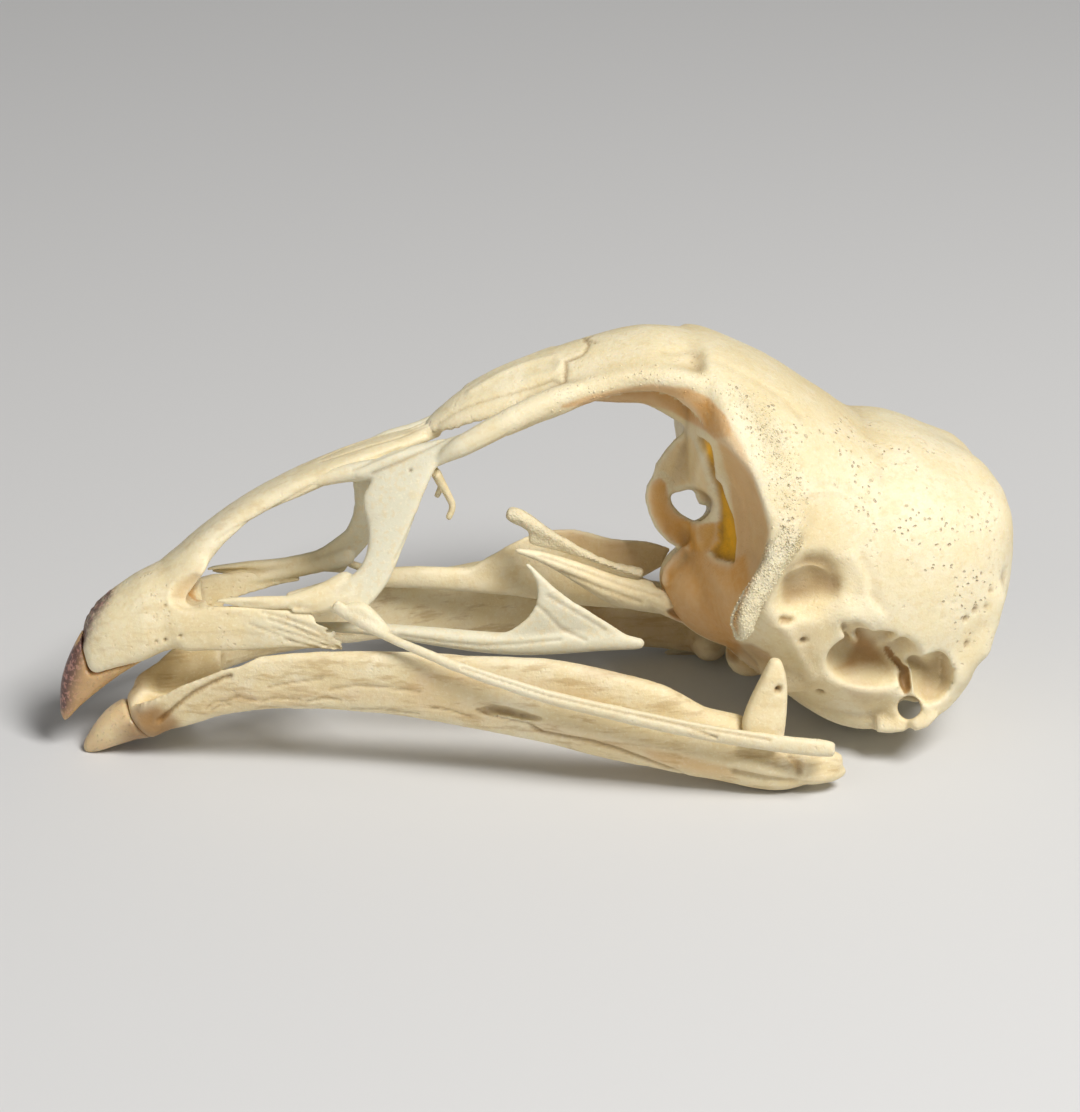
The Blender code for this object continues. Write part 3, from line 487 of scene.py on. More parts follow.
class Skin:
    """A bone's points in millimetres, with what is carved into and painted on them."""
    ACROSS = 2.5  # how far from its mirror image the far side's skin may lie
    REACH = 2.6  # how many widths away a line still has an effect
    FAR_AWAY = 1e9

    def __init__(self, shape):
        self.shape = shape
        mesh = shape.data
        count = len(mesh.vertices)
        flat = np.empty(count * 3, np.float32)
        mesh.vertices.foreach_get("co", flat)
        self.points = flat.reshape(-1, 3).astype(float) / MM
        mesh.vertices.foreach_get("normal", flat)
        self.normals = flat.reshape(-1, 3).astype(float)
        edges = np.empty(len(mesh.edges) * 2, np.int32)
        mesh.edges.foreach_get("vertices", edges)
        self.edges = edges.reshape(-1, 2)
        polygons = [tuple(p.vertices) for p in mesh.polygons]
        self.tree = BVHTree.FromPolygons([Vector(p) for p in self.points], polygons)
        self.marks = {name: np.zeros(count) for name in MARKS}
        inverse = np.array(UPRIGHT)
        self.upright = self.points @ inverse[:3, :3].T + inverse[:3, 3]

    def trace(self, pixels, mirrored=False, step=2.0):
        """Where the camera's rays through a line of pixels first meet the bone."""
        dense = []
        for (u0, v0), (u1, v1) in zip(pixels, pixels[1:]):
            parts = max(1, math.ceil(math.hypot(u1 - u0, v1 - v0) / step))
            dense += [(u0 + (u1 - u0) * i / parts, v0 + (v1 - v0) * i / parts)
                      for i in range(parts)]
        dense.append(pixels[-1])
        found = []
        for u, v in dense:
            start, way = sight(u, v)
            spot, normal = self.tree.ray_cast(start, way)[:2]
            if spot is not None:
                found.append((spot, normal))
        if mirrored:
            found = [self.tree.find_nearest(MIRROR @ spot, self.ACROSS)[:2] for spot, _ in found]
            found = [pair for pair in found if pair[0] is not None]
        return found

    def share(self, path, width, facing=0.15):
        """For each point near a path: how strongly the path reaches it, from 0 to 1."""
        if not path:
            return np.zeros(0, int), np.zeros(0)
        spots = np.array([p for p, _ in path])
        ways = np.array([n for _, n in path])
        low, high = spots.min(0) - self.REACH * width, spots.max(0) + self.REACH * width
        near = np.where(((self.points > low) & (self.points < high)).all(1))[0]
        if not len(near):
            return near, np.zeros(0)
        nearest = np.full(len(near), self.FAR_AWAY)
        which = np.zeros(len(near), int)
        for i, spot in enumerate(spots):
            distance = ((self.points[near] - spot) ** 2).sum(1)
            closer = distance < nearest
            nearest[closer] = distance[closer]
            which[closer] = i
        strength = np.exp(-nearest / width ** 2)
        strength[(self.normals[near] * ways[which]).sum(1) < facing] = 0.0
        return near, strength

    def within(self, outline, mirrored=False, slack=0.6):
        """The points that the camera sees inside an outline, and how far inside, in pixels."""
        flip = np.array([1.0, -1.0 if mirrored else 1.0, 1.0])
        matrix = np.array(PLACE)
        turn = matrix[:3, :3]
        where = (self.upright * flip) @ turn.T + matrix[:3, 3]
        facing = ((self.normals @ turn) * flip) @ turn.T
        place, right, up, forward = (np.array(a) for a in camera_axes(
            bpy.context.scene.hen_skull_studio))
        ray = where - place
        deep = ray @ forward
        u = PHOTO_WIDTH / 2 + FOCAL_PIXELS * (ray @ right) / deep
        v = PHOTO_HEIGHT / 2 - FOCAL_PIXELS * (ray @ up) / deep
        edge = np.array(outline, float)
        low, high = edge.min(0), edge.max(0)
        near = np.where((u > low[0]) & (u < high[0]) & (v > low[1]) & (v < high[1])
                        & ((facing * ray).sum(1) < 0))[0]
        if not len(near):
            return near, np.zeros(0)
        x, y = u[near], v[near]
        inside = np.zeros(len(near), bool)
        distance = np.full(len(near), self.FAR_AWAY)
        for (ax, ay), (bx, by) in zip(edge, np.roll(edge, -1, 0)):
            if ay != by:
                crosses = ((ay > y) != (by > y)) & (x < (bx - ax) * (y - ay) / (by - ay) + ax)
                inside ^= crosses
            along = np.clip(((x - ax) * (bx - ax) + (y - ay) * (by - ay))
                            / max((bx - ax) ** 2 + (by - ay) ** 2, 1e-9), 0, 1)
            distance = np.minimum(distance, np.hypot(x - ax - along * (bx - ax),
                                                     y - ay - along * (by - ay)))
        near, distance = near[inside], distance[inside]
        eye = Vector(place)
        open_to_view = np.ones(len(near), bool)
        for i, point in enumerate(where[near]):
            aim = Vector(point) - eye
            spot = self.tree.ray_cast(eye, aim.normalized(), aim.length - slack)[0]
            open_to_view[i] = spot is None
        return near[open_to_view], distance[open_to_view]

    def areas(self, outline, soft, mirrored):
        """Each side's points inside an outline, and a share that fades in over some pixels."""
        for turned in turns(mirrored):
            near, distance = self.within(outline, turned)
            yield near, np.clip(distance / soft, 0, 1)

    def paint_area(self, mark, outline, strength, soft, mirrored=False):
        """Paints a mark inside an outline of pixels."""
        for near, ease in self.areas(outline, soft, mirrored):
            self.paint_points(mark, near, strength * ease)

    def sink_area(self, outline, depth, soft, mirrored=False):
        """Lowers the skin inside an outline of pixels."""
        for near, ease in self.areas(outline, soft, mirrored):
            ease = ease * ease * (3 - 2 * ease)
            self.points[near] -= self.normals[near] * (depth * ease)[:, None]

    def even_area(self, outline, rounds, soft, mirrored=False):
        """Takes creases out of the skin inside an outline of pixels."""
        even = self.averaged(self.points, rounds)
        for near, ease in self.areas(outline, soft, mirrored):
            self.points[near] += (even[near] - self.points[near]) * ease[:, None]

    def carve(self, pixels, width, depth, mirrored=False, paint=None, shade=0.0):
        """A groove along a line of pixels, or a ridge where the depth is negative."""
        for turned in turns(mirrored):
            near, strength = self.share(self.trace(pixels, turned, 6 * width), width)
            self.points[near] -= self.normals[near] * (depth * strength)[:, None]
            if paint:
                self.paint_points(paint, near, strength * shade)

    def grooves(self, lines, width, depth, shade, mirrored=False):
        """Grooves, each along a line of pixels, with painted shade in them."""
        for pixels in lines:
            self.carve(pixels, width, depth, mirrored, "hollow", shade)

    def pits(self, pixels, width, depth, shade, mirrored=False):
        """Small round holes, each at one pixel, with painted shade in them."""
        self.grooves([[pixel, pixel] for pixel in pixels], width, depth, shade, mirrored)

    def paint(self, mark, pixels, width, strength=1.0, mirrored=False):
        """Paints a mark along a line of pixels."""
        for turned in turns(mirrored):
            near, share = self.share(self.trace(pixels, turned), width)
            self.paint_points(mark, near, share * strength)

    def paint_round(self, mark, rows, width, strength=1.0):
        """Paints a mark all round a rod given in the upright skull's frame."""
        path = np.array(curve_through(rows))[:, :3]
        away = np.full(len(self.upright), self.FAR_AWAY)
        for spot in path:
            away = np.minimum(away, ((self.upright - spot) ** 2).sum(1))
        share = np.clip((width - np.sqrt(away)) / (0.3 * width), 0, 1)
        self.paint_points(mark, np.arange(len(share)), share * strength)

    def paint_points(self, mark, near, amount):
        field = self.marks[mark]
        field[near] = np.clip(field[near] + amount, 0.0, 1.0)

    def averaged(self, values, rounds):
        """Values evened out over the skin."""
        a, b = self.edges[:, 0], self.edges[:, 1]
        count = np.bincount(a, minlength=len(values)) + np.bincount(b, minlength=len(values))
        count = np.maximum(count, 1)[:, None]
        now = values.reshape(len(values), -1).copy()
        for _ in range(rounds):
            total = np.zeros_like(now)
            for i in range(now.shape[1]):
                total[:, i] = (np.bincount(a, now[b, i], len(now))
                               + np.bincount(b, now[a, i], len(now)))
            now = 0.5 * now + 0.5 * total / count
        return now.reshape(values.shape)

    def find_hollows(self, rounds=24, scale=6.0):
        """Paints shade, with some dirt, where the skin lies below its own even course, and a
        highlight where it stands above it.
        """
        even = self.averaged(self.points, rounds)
        depth = ((even - self.points) * self.normals).sum(1)
        # Painted shade, with some dirt, in the hollows
        self.marks["hollow"] = np.clip(self.marks["hollow"] + np.clip(depth * scale, 0, 1), 0, 1)
        # Painted highlight on the ridges
        self.marks["worn"] = np.clip(-depth * scale, 0, 1)

    def write(self):
        """Puts the points and marks into the mesh."""
        mesh = self.shape.data
        mesh.vertices.foreach_set("co", (self.points * MM).astype(np.float32).ravel())
        for name, field in self.marks.items():
            layer = mesh.attributes.new(name, "FLOAT", "POINT")
            layer.data.foreach_set("value", field.astype(np.float32))
        mesh.update()
        return self.shape


# Materials

class Tree:
    """A short way to write node trees."""

    def __init__(self, tree):
        self.tree = tree

    def feed(self, socket, value):
        if isinstance(value, bpy.types.NodeSocket):
            self.tree.links.new(value, socket)
        elif value is not None:
            socket.default_value = value

    def fill(self, node, **sockets):
        """Feeds a node's inputs by their names, with _ for a space."""
        for name, value in sockets.items():
            self.feed(node.inputs[name.replace("_", " ")], value)
        return node

    def add(self, kind, **sockets):
        return self.fill(self.tree.nodes.new(kind), **sockets)

    def maths(self, operation, a, b=None, clamp=False):
        node = self.add("ShaderNodeMath")
        node.operation = operation
        node.use_clamp = clamp
        self.feed(node.inputs[0], a)
        self.feed(node.inputs[1], b)
        return node.outputs[0]

    def plus(self, a, b, clamp=False):
        return self.maths("ADD", a, b, clamp)

    def minus(self, a, b):
        return self.maths("SUBTRACT", a, b)

    def times(self, a, b, clamp=False):
        return self.maths("MULTIPLY", a, b, clamp)

    def mix(self, factor, a, b):
        """Mixes two colours, each a socket or three numbers."""
        node = self.add("ShaderNodeMix")
        node.data_type = "RGBA"
        self.feed(node.inputs["Factor"], factor)
        for socket, value in ((node.inputs[6], a), (node.inputs[7], b)):
            self.feed(socket, value if isinstance(value, bpy.types.NodeSocket) else (*value, 1.0))
        return node.outputs[2]

    def noise(self, where, scale, detail=4.0, rough=0.55):
        node = self.add("ShaderNodeTexNoise", Vector=where, Scale=scale, Detail=detail,
                        Roughness=rough)
        return node.outputs["Fac"]

    def span(self, value, low, high, to_low=0.0, to_high=1.0):
        """A smooth step from one number to another between two values."""
        node = self.add("ShaderNodeMapRange", Value=value, From_Min=low, From_Max=high,
                        To_Min=to_low, To_Max=to_high)
        node.interpolation_type = "SMOOTHSTEP"
        return node.outputs[0]

    def painted(self, mark):
        """A painted mark, for a material."""
        node = self.add("ShaderNodeAttribute")
        node.attribute_name = mark
        return node.outputs["Fac"]

    def field(self, mark):
        """A painted mark, for geometry nodes."""
        return self.add("GeometryNodeInputNamedAttribute", Name=mark).outputs["Attribute"]


def shade(colour, factor):
    return [c * factor for c in colour]


def blend(one, other, share):
    return [a * (1 - share) + b * share for a, b in zip(one, other)]


def new_material(name):
    """A material with its node tree, its shader and the object's coordinates."""
    made = bpy.data.materials.new(name)
    made.use_nodes = True
    tree = Tree(made.node_tree)
    where = tree.add("ShaderNodeTexCoord").outputs["Object"]
    return made, tree, made.node_tree.nodes["Principled BSDF"], where


def bone_material(name, bone, tone=0.0, see_through=0.08, fibre=0.2, relief=1.0):
    """Dry bone: ivory with cream and straw patches, stains, amber skin, pores and fine grain, with
    painted shade in its hollows and recesses and a painted highlight on its ridges.
    """
    made, tree, shader, where = new_material(name)
    broad = tree.noise(where, 95.0, 3.0)
    middle = tree.noise(where, 420.0, 5.0, 0.6)
    small = tree.noise(where, 1900.0, 6.0, 0.65)
    straw_patch = tree.span(tree.plus(broad, tree.times(middle, 0.35)), 0.60 - tone, 0.86 - tone)
    cream_patch = tree.span(tree.plus(tree.times(broad, -0.7), middle), 0.02, 0.34)
    colour = tree.mix(tree.times(straw_patch, 0.55), bone.ivory, bone.straw)
    colour = tree.mix(tree.times(cream_patch, 0.6), colour, bone.cream)
    colour = tree.mix(tree.painted("pale"), colour, bone.chalk)
    colour = tree.mix(tree.times(tree.span(small, 0.48, 0.64), 0.38), colour, bone.straw)
    flecks = tree.span(tree.noise(where, 4200.0, 3.0), 0.54, 0.68)
    colour = tree.mix(tree.times(flecks, 0.4), colour, bone.cream)
    drawn = tree.add("ShaderNodeMapping", Vector=where, Scale=(0.14, 0.8, 1.0))
    fibres = tree.noise(drawn.outputs[0], 1500.0, 5.0, 0.6)
    colour = tree.mix(tree.times(tree.span(fibres, 0.50, 0.68), fibre), colour,
                      blend(bone.straw, bone.stain, 0.5))
    ragged = tree.times(tree.minus(middle, 0.5), 1.3)

    def broken(mark):
        """A painted mark whose edge wanders with the grain."""
        amount = tree.painted(mark)
        uneven = tree.span(tree.plus(amount, tree.times(ragged, amount)), 0.05, 0.75)
        return tree.times(uneven, amount, clamp=True)

    # Brown: real stains, and painted shade where recesses and the far side lie in shadow
    colour = tree.mix(broken("stain"), colour, bone.stain)
    # Orange-brown: the socket walls' own colour, and painted shade under the brow, in the ear and
    # on the far side
    rust_and_shade_colour = tree.mix(tree.span(small, 0.35, 0.7), bone.rust, blend(bone.rust, bone.ivory, 0.16))
    colour = tree.mix(broken("rust"), colour, rust_and_shade_colour)
    skin = tree.mix(tree.span(middle, 0.4, 0.65), bone.amber, shade(bone.amber, 0.72))
    colour = tree.mix(broken("amber"), colour, skin)
    wander = tree.add("ShaderNodeTexNoise", Vector=where, Scale=1400.0)
    astray = tree.add("ShaderNodeVectorMath")
    astray.operation = "MULTIPLY_ADD"
    for socket, value in zip(astray.inputs, (wander.outputs["Color"], (0.0006,) * 3, where)):
        tree.feed(socket, value)
    cells = tree.add("ShaderNodeTexVoronoi", Vector=astray.outputs[0], Scale=2100.0)
    dots = tree.times(tree.span(cells.outputs["Distance"], 0.10, 0.30, 1.0, 0.0),
                      tree.span(middle, 0.46, 0.60))
    dots = tree.times(dots, tree.plus(0.10, tree.painted("pores"), clamp=True))
    colour = tree.mix(tree.times(dots, 0.46), colour, shade(bone.stain, 1.25))
    band = tree.times(tree.painted("horn"), tree.span(small, 0.3, 0.55, 0.45, 1.0))
    flaky = tree.mix(tree.span(tree.noise(where, 3000.0, 4.0, 0.7), 0.50, 0.60), bone.horn,
                     shade(bone.horn, 4.0))
    colour = tree.mix(band, colour, flaky)
    # Painted highlight: ridges lightened towards cream
    colour = tree.mix(tree.times(tree.painted("worn"), 0.45), colour, bone.cream)
    # Painted shade, with some dirt: hollows, grooves and pores darkened towards brown
    colour = tree.mix(tree.times(tree.painted("hollow"), 0.58), colour, shade(bone.stain, 0.8))
    grain = tree.plus(tree.times(small, 0.7), tree.times(tree.noise(where, 6200.0, 3.0), 0.3))
    grain = tree.plus(grain, tree.times(fibres, fibre))
    strong = tree.plus(0.42, tree.times(tree.painted("rough"), 1.6))
    raised = tree.minus(tree.times(grain, strong), tree.times(dots, 1.2))
    bump = tree.add("ShaderNodeBump", Height=raised, Strength=0.8 * relief, Distance=0.00026)
    tree.fill(shader, Base_Color=colour, Roughness=bone.roughness, Specular_IOR_Level=0.42,
              Subsurface_Weight=see_through, Subsurface_Radius=(1.0, 0.62, 0.26),
              Subsurface_Scale=0.0005, Normal=bump.outputs["Normal"])
    return made


def horn_material(name, horn):
    """Translucent horn with a dark granular band and fine growth streaks."""
    made, tree, shader, where = new_material(name)
    middle = tree.noise(where, 900.0, 5.0, 0.65)
    small = tree.noise(where, 3200.0, 5.0, 0.6)
    dark = tree.plus(tree.painted("horn"), tree.times(tree.span(middle, 0.5, 0.75), 0.25),
                     clamp=True)
    flaky = tree.mix(tree.span(small, 0.50, 0.60), horn.dark, shade(horn.dark, 3.2))
    colour = tree.mix(dark, horn.clear, flaky)
    colour = tree.mix(tree.painted("pale"), colour, horn.pale)
    colour = tree.mix(tree.painted("stain"), colour, horn.stain)
    colour = tree.mix(tree.times(tree.span(small, 0.55, 0.7), 0.3), colour,
                      shade(horn.dark, 0.6))
    bump = tree.add("ShaderNodeBump", Height=tree.plus(middle, small), Strength=0.5,
                    Distance=0.00012)
    tree.fill(shader, Base_Color=colour, Roughness=horn.roughness, Subsurface_Weight=0.3,
              Subsurface_Radius=(1.0, 0.45, 0.15), Subsurface_Scale=0.0014,
              Normal=bump.outputs["Normal"])
    return made


def open_nodes(name, sockets):
    """A geometry node tree that takes a bone, named values and a finish, and what it is given."""
    made = bpy.data.node_groups.new(name, "GeometryNodeTree")
    for label, kind in (("Bone", "Geometry"), *sockets, ("Finish", "Material")):
        made.interface.new_socket(label, in_out="INPUT", socket_type="NodeSocket" + kind)
    made.interface.new_socket("Result", in_out="OUTPUT", socket_type="NodeSocketGeometry")
    tree = Tree(made)
    return tree, tree.add("NodeGroupInput").outputs


def close_nodes(tree, given, geometry):
    """Ends a geometry node tree with real faces that carry the finish."""
    real = tree.add("GeometryNodeRealizeInstances", Geometry=geometry)
    finish = tree.add("GeometryNodeSetMaterial", Geometry=real.outputs[0],
                      Material=given["Finish"])
    tree.feed(tree.add("NodeGroupOutput").inputs[0], finish.outputs[0])
    return tree.tree


def relief_tree():
    """Geometry nodes that raise fine grain, press pores into a bone's skin and paint shade into
    the pores.
    """
    tree, given = open_nodes("bone_relief", (("Grain height", "Float"), ("Pore depth", "Float"),
                                             ("Pore size", "Float")))
    where = tree.add("GeometryNodeInputPosition").outputs[0]
    grain = tree.minus(tree.noise(where, 520.0, 4.0, 0.6), 0.5)
    coarse = tree.minus(tree.noise(where, 1150.0, 3.0, 0.6), 0.5)
    rough = tree.times(coarse, tree.times(tree.field("rough"), 4.0))
    raised = tree.times(tree.plus(grain, rough), given["Grain height"])
    cells = tree.add("ShaderNodeTexVoronoi", Vector=where,
                     Scale=tree.maths("DIVIDE", 1.0, given["Pore size"]))
    cup = tree.span(cells.outputs["Distance"], 0.10, 0.36, 1.0, 0.0)
    spotty = tree.span(tree.noise(where, 300.0, 2.0), 0.42, 0.62)
    pores = tree.times(tree.times(cup, spotty), tree.field("pores"))
    move = tree.add("ShaderNodeVectorMath")
    move.operation = "SCALE"
    tree.feed(move.inputs[0], tree.add("GeometryNodeInputNormal").outputs[0])
    tree.feed(move.inputs["Scale"], tree.minus(raised, tree.times(pores, given["Pore depth"])))
    moved = tree.add("GeometryNodeSetPosition", Geometry=given["Bone"], Offset=move.outputs[0])
    # Painted shade: the pores deepen the hollow mark that darkens the finish
    shaded_pores = tree.add("GeometryNodeStoreNamedAttribute", Geometry=moved.outputs[0], Name="hollow",
                      Value=tree.plus(tree.field("hollow"), tree.times(pores, 0.2), clamp=True))
    return close_nodes(tree, given, shaded_pores.outputs[0])


def granule_tree():
    """Geometry nodes that scatter granules where a bone is rough."""
    tree, given = open_nodes("bone_granules", (("Density", "Float"), ("Smallest", "Float"),
                                               ("Largest", "Float"), ("Seed", "Int")))
    spots = tree.add("GeometryNodeDistributePointsOnFaces", Mesh=given["Bone"],
                     Density=tree.times(given["Density"], tree.field("rough")),
                     Seed=given["Seed"])
    grain = tree.add("GeometryNodeMeshIcoSphere", Radius=1.0, Subdivisions=1)
    size = tree.add("FunctionNodeRandomValue", Seed=given["Seed"])
    tree.feed(size.inputs[2], given["Smallest"])
    tree.feed(size.inputs[3], given["Largest"])
    scatter = tree.add("GeometryNodeInstanceOnPoints", Points=spots.outputs["Points"],
                       Instance=grain.outputs["Mesh"], Rotation=spots.outputs["Rotation"],
                       Scale=size.outputs[1])
    return close_nodes(tree, given, scatter.outputs[0])


def scatter_granules(shape, bone, name, seed):
    """The granules on a finished bone's rough places, as a piece of their own."""
    made = link(name, shape.data.copy())
    made.data.materials.clear()
    tree = shared(bpy.data.node_groups, "bone_granules", granule_tree)
    finish = bone_material(name + "_finish", bone, -0.1, 0.1, 0.0)
    run_tree(made, tree, Density=bone.granule_density, Smallest=bone.granule_size * 0.4,
             Largest=bone.granule_size, Seed=seed, Finish=finish)
    made.data.shade_smooth()
    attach(made, "root")
    return made


def run_tree(shape, tree, **values):
    """Runs geometry nodes on the shape and keeps the result as its mesh."""
    change = shape.modifiers.new(tree.name, "NODES")
    change.node_group = tree
    for item in tree.interface.items_tree:
        if item.in_out == "INPUT" and item.name in values:
            change[item.identifier] = values[item.name]
    return settle(shape)


def shared(kind, name, make):
    """A material or node group that several bones use, made when it is first asked for."""
    found = kind.get(name)
    return found if found is not None else make()


def finish_bone(skin, bone, node, tone=0.0, see_through=0.10, pore_size=0.0007,
                grain=1.0, fibre=0.2, relief=1.0):
    """Gives the carved bone its relief and finish, and lets it stand for its solid."""
    # Painted shade in the hollows and a painted highlight on the ridges
    skin.find_hollows()
    shape = skin.write()
    finish = bone_material(node + "_finish", bone, tone, see_through, fibre, relief)
    tree = shared(bpy.data.node_groups, "bone_relief", relief_tree)
    run_tree(shape, tree, **{"Grain height": bone.grain_height * grain,
                             "Pore depth": bone.pore_depth, "Pore size": pore_size,
                             "Finish": finish})
    shape.data.shade_smooth()
    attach(shape, "root")
    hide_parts(node)
    return shape


def thin_bone(node, bone, size=None):
    """The skin of a thin bone, from its solid."""
    return thin_skin(copy_of(node, node + "_bone"), size or bone.thin_skin_size)


def thin_skin(shape, size):
    """The fine skin of a thin bone's shape."""
    return Skin(fine_skin(shape, size, THIN_SMOOTHING))


# What the photograph shows on the braincase, in its pixels

FOSSA = [
    (782, 566), (792, 555), (808, 548), (828, 550), (843, 562), (850, 580), (847, 598), (835, 606),
    (818, 604), (800, 608), (786, 611), (778, 602), (776, 584)]
FOSSA_HOLES = [(820, 584), (825, 585)]
TEMPLE = [(792, 470), (850, 468), (884, 520), (892, 590), (850, 612), (800, 560)]
BELOW_FOSSA = [
    (752, 600), (800, 606), (836, 612), (838, 650), (826, 668), (838, 706), (812, 694), (780, 652),
    (752, 632)]
YELLOW_DENT = [(776, 617), (784, 613), (794, 615), (797, 622), (789, 627), (779, 626)]
EAR = [
    (824, 668), (832, 660), (838, 653), (846, 644), (845, 636), (840, 628), (839, 619), (846, 622),
    (857, 620), (867, 624), (877, 632), (882, 640), (890, 646), (895, 655), (899, 664), (899, 672),
    (898, 680), (899, 688), (896, 696), (893, 704), (884, 711), (868, 714), (852, 710), (840, 700),
    (831, 688), (825, 678)]
EAR_DEEPEST = (860, 652)
EAR_DARK = [
    (824, 669), (838, 653), (845, 636), (840, 622), (857, 620), (877, 632), (890, 646), (899, 664),
    (898, 684), (880, 676), (862, 676), (840, 680), (828, 676)]
CRACK = [
    (882, 644), (891, 647), (895, 654), (900, 657), (903, 663), (910, 667), (910, 672), (911, 680),
    (912, 688), (910, 696), (904, 696), (899, 686), (898, 677), (899, 671), (895, 665), (889, 659),
    (885, 653)]
CRACK_ANCHOR = (914, 645)
FOSSA_WIDE = [
    (770, 560), (785, 545), (808, 538), (835, 540), (853, 556), (860, 580), (855, 604), (835, 616),
    (800, 618), (774, 614), (768, 590)]
FOSSA_DEEP = [
    (800, 556), (815, 548), (832, 550), (845, 562), (850, 580), (846, 596), (830, 600), (812, 594),
    (800, 580)]
FAR_PROCESS_END = [(640, 480), (716, 474), (722, 580), (640, 580)]
FAR_PROCESS_ACROSS = 13.0
FAR_PROCESS_THICKNESS = 4.0
EAR_DEPTH = 4.6
CUP_DEPTH = 1.7
CRESCENT_THICKNESS = 0.8
SEPTUM_THICKNESS = 0.7
LIP_LEVELS = [(0.1, 0.8), (0.35, 1.0), (1.5, 1.0), (2.2, 0.8)]
PLATE_HOLE_LEVELS = [(-1.5, 1.0), (7.0, 1.0)]
CRACK_LEVELS = [(-2.0, 1.0), (1.6, 1.0), (2.4, 0.7)]
KEYHOLE_LEVELS = [(-4.0, 1.0), (6.0, 1.0)]
GRANULE_SEED = 7
BOX_CLEARANCE = 0.02
EAR_SLOPE = [
    (826, 674), (850, 668), (880, 672), (898, 684), (898, 700), (886, 712), (866, 716), (846, 708),
    (830, 688)]
EAR_TWIG = [
    (900, 633, 0.3, 0.2), (890, 638, 0.26, 0.1), (881, 643, 0.2, 0.0), (873, 648, 0.13, 0.1),
    (869, 651, 0.08, 0.2)]
EAR_STRUTS = [
    [(838, 660, 0.4, 3.0), (852, 650, 0.3, 3.0), (868, 638, 0.35, 2.4)], [(852, 634, 0.3, 2.2),
    (862, 650, 0.25, 3.4), (872, 664, 0.3, 3.2)]]
EAR_RIM = (850, 612)
PLATE_ANCHOR = (664, 500)
CUP = [
    (905, 659), (912, 654), (921, 656), (931, 653), (939, 650), (947, 655), (953, 668), (955, 682),
    (950, 696), (941, 705), (929, 708), (919, 704), (914, 694), (912, 680), (911, 668)]
CUP_DEEPEST = (934, 672)
KEYHOLE = [
    (921, 707), (919.5, 713), (915.5, 717.5), (910.3, 719.3), (909.9, 723), (912.5, 733),
    (906.5, 733), (908.6, 723), (907.8, 719.3), (902.5, 717.5), (898.6, 713), (897, 707),
    (898.6, 701), (903, 696.6), (909, 695), (915, 696.6), (919.4, 701)]
KEYHOLE_LIPS = [
    [(876, 712), (893, 712), (900, 714), (909, 718), (909, 725), (905, 731), (890, 733),
    (876, 732)], [(909, 725), (909, 718), (918, 714), (926, 706), (934, 706), (938, 716),
    (928, 727), (915, 731)]]
LIP_ANCHORS = [(885, 712), (934, 706)]
PLATE_HOLE = [
    (669, 494), (680, 492), (686, 490), (690, 489), (695, 491), (696, 498), (699, 505), (705, 506),
    (711, 508), (711, 520), (704, 522), (692, 520), (681, 514), (673, 505)]
CRESCENT = [
    (652, 478), (661, 475), (668, 482), (670, 494), (674, 506), (682, 514), (694, 521), (722, 520),
    (724, 550), (700, 555), (682, 549), (668, 542), (656, 529), (649, 514), (645, 498), (647, 486)]
SEPTUM = [
    (690, 428), (676, 438), (664, 452), (655, 466), (652, 480), (662, 492), (680, 496), (700, 504),
    (716, 508), (720, 470), (706, 434)]
PALE_PLATE = [
    (688, 430), (672, 442), (656, 462), (650, 474), (660, 474), (668, 482), (670, 492), (690, 488),
    (698, 504), (712, 508), (712, 484), (706, 462), (696, 436)]
AMBER_SKIN = [
    (694, 434), (702, 437), (711, 444), (714, 458), (716, 478), (722, 484), (726, 498), (734, 518),
    (737, 540), (735, 564), (724, 562), (713, 558), (709, 550), (716, 540), (716, 508), (713, 488),
    (706, 468), (698, 448)]
SOCKET_WALL = [
    (640, 586), (656, 566), (676, 554), (690, 542), (700, 539), (712, 546), (724, 554), (734, 556),
    (748, 552), (752, 585), (746, 612), (744, 656), (700, 656), (670, 640), (652, 616), (642, 600)]
SOCKET_LIP = [(665, 580), (667, 570), (676, 560), (686, 551), (692, 548)]
SOCKET_INNER = [
    (690, 400), (712, 402), (732, 418), (748, 446), (760, 476), (769, 505), (776, 532), (770, 556),
    (760, 580), (748, 600), (734, 592), (728, 560), (728, 526), (724, 486), (717, 462), (708, 436),
    (698, 418)]
SOCKET_ROOF = [
    (556, 404), (590, 392), (620, 385), (650, 381), (690, 385), (712, 396), (728, 414), (732, 436),
    (714, 440), (690, 426), (670, 414), (640, 406), (600, 407), (560, 412)]
RIM_GRAINS = [
    [(748, 404), (762, 430), (774, 458), (783, 488), (789, 512), (790, 536)], [(766, 410),
    (780, 440), (790, 470), (796, 500)], [(740, 392), (760, 418), (776, 450)]]
BROW_RIM = [(560, 400), (590, 388), (620, 378), (650, 374), (690, 376), (722, 388), (744, 404)]
TEMPORAL_LINE = [(664, 352), (690, 352), (722, 362), (752, 378), (780, 396), (800, 416)]
FAINT_ARC = [(793, 499), (811, 491), (830, 490), (842, 493), (856, 500), (866, 508)]
BROWN_KNOB = [
    (726, 640), (752, 640), (772, 650), (784, 672), (776, 690), (756, 686), (736, 674), (724, 658)]
BASE_LOBES = [(660, 628), (690, 632), (720, 636), (740, 640), (740, 664), (700, 668), (664, 660)]
NAPE_PITS = [(966, 619), (966, 643), (978, 635), (984, 645), (975, 610), (985, 606), (990, 590)]
BASE_HOLES = [(803, 641), (820, 692)]
NAPE_SWELLS = [
    ([(975, 470), (990, 490), (996, 508)], 2.6, 0.75), ([(996, 600), (990, 622), (980, 644)],
    1.3, 0.6), ([(975, 650), (962, 672)], 1.4, 0.5)]
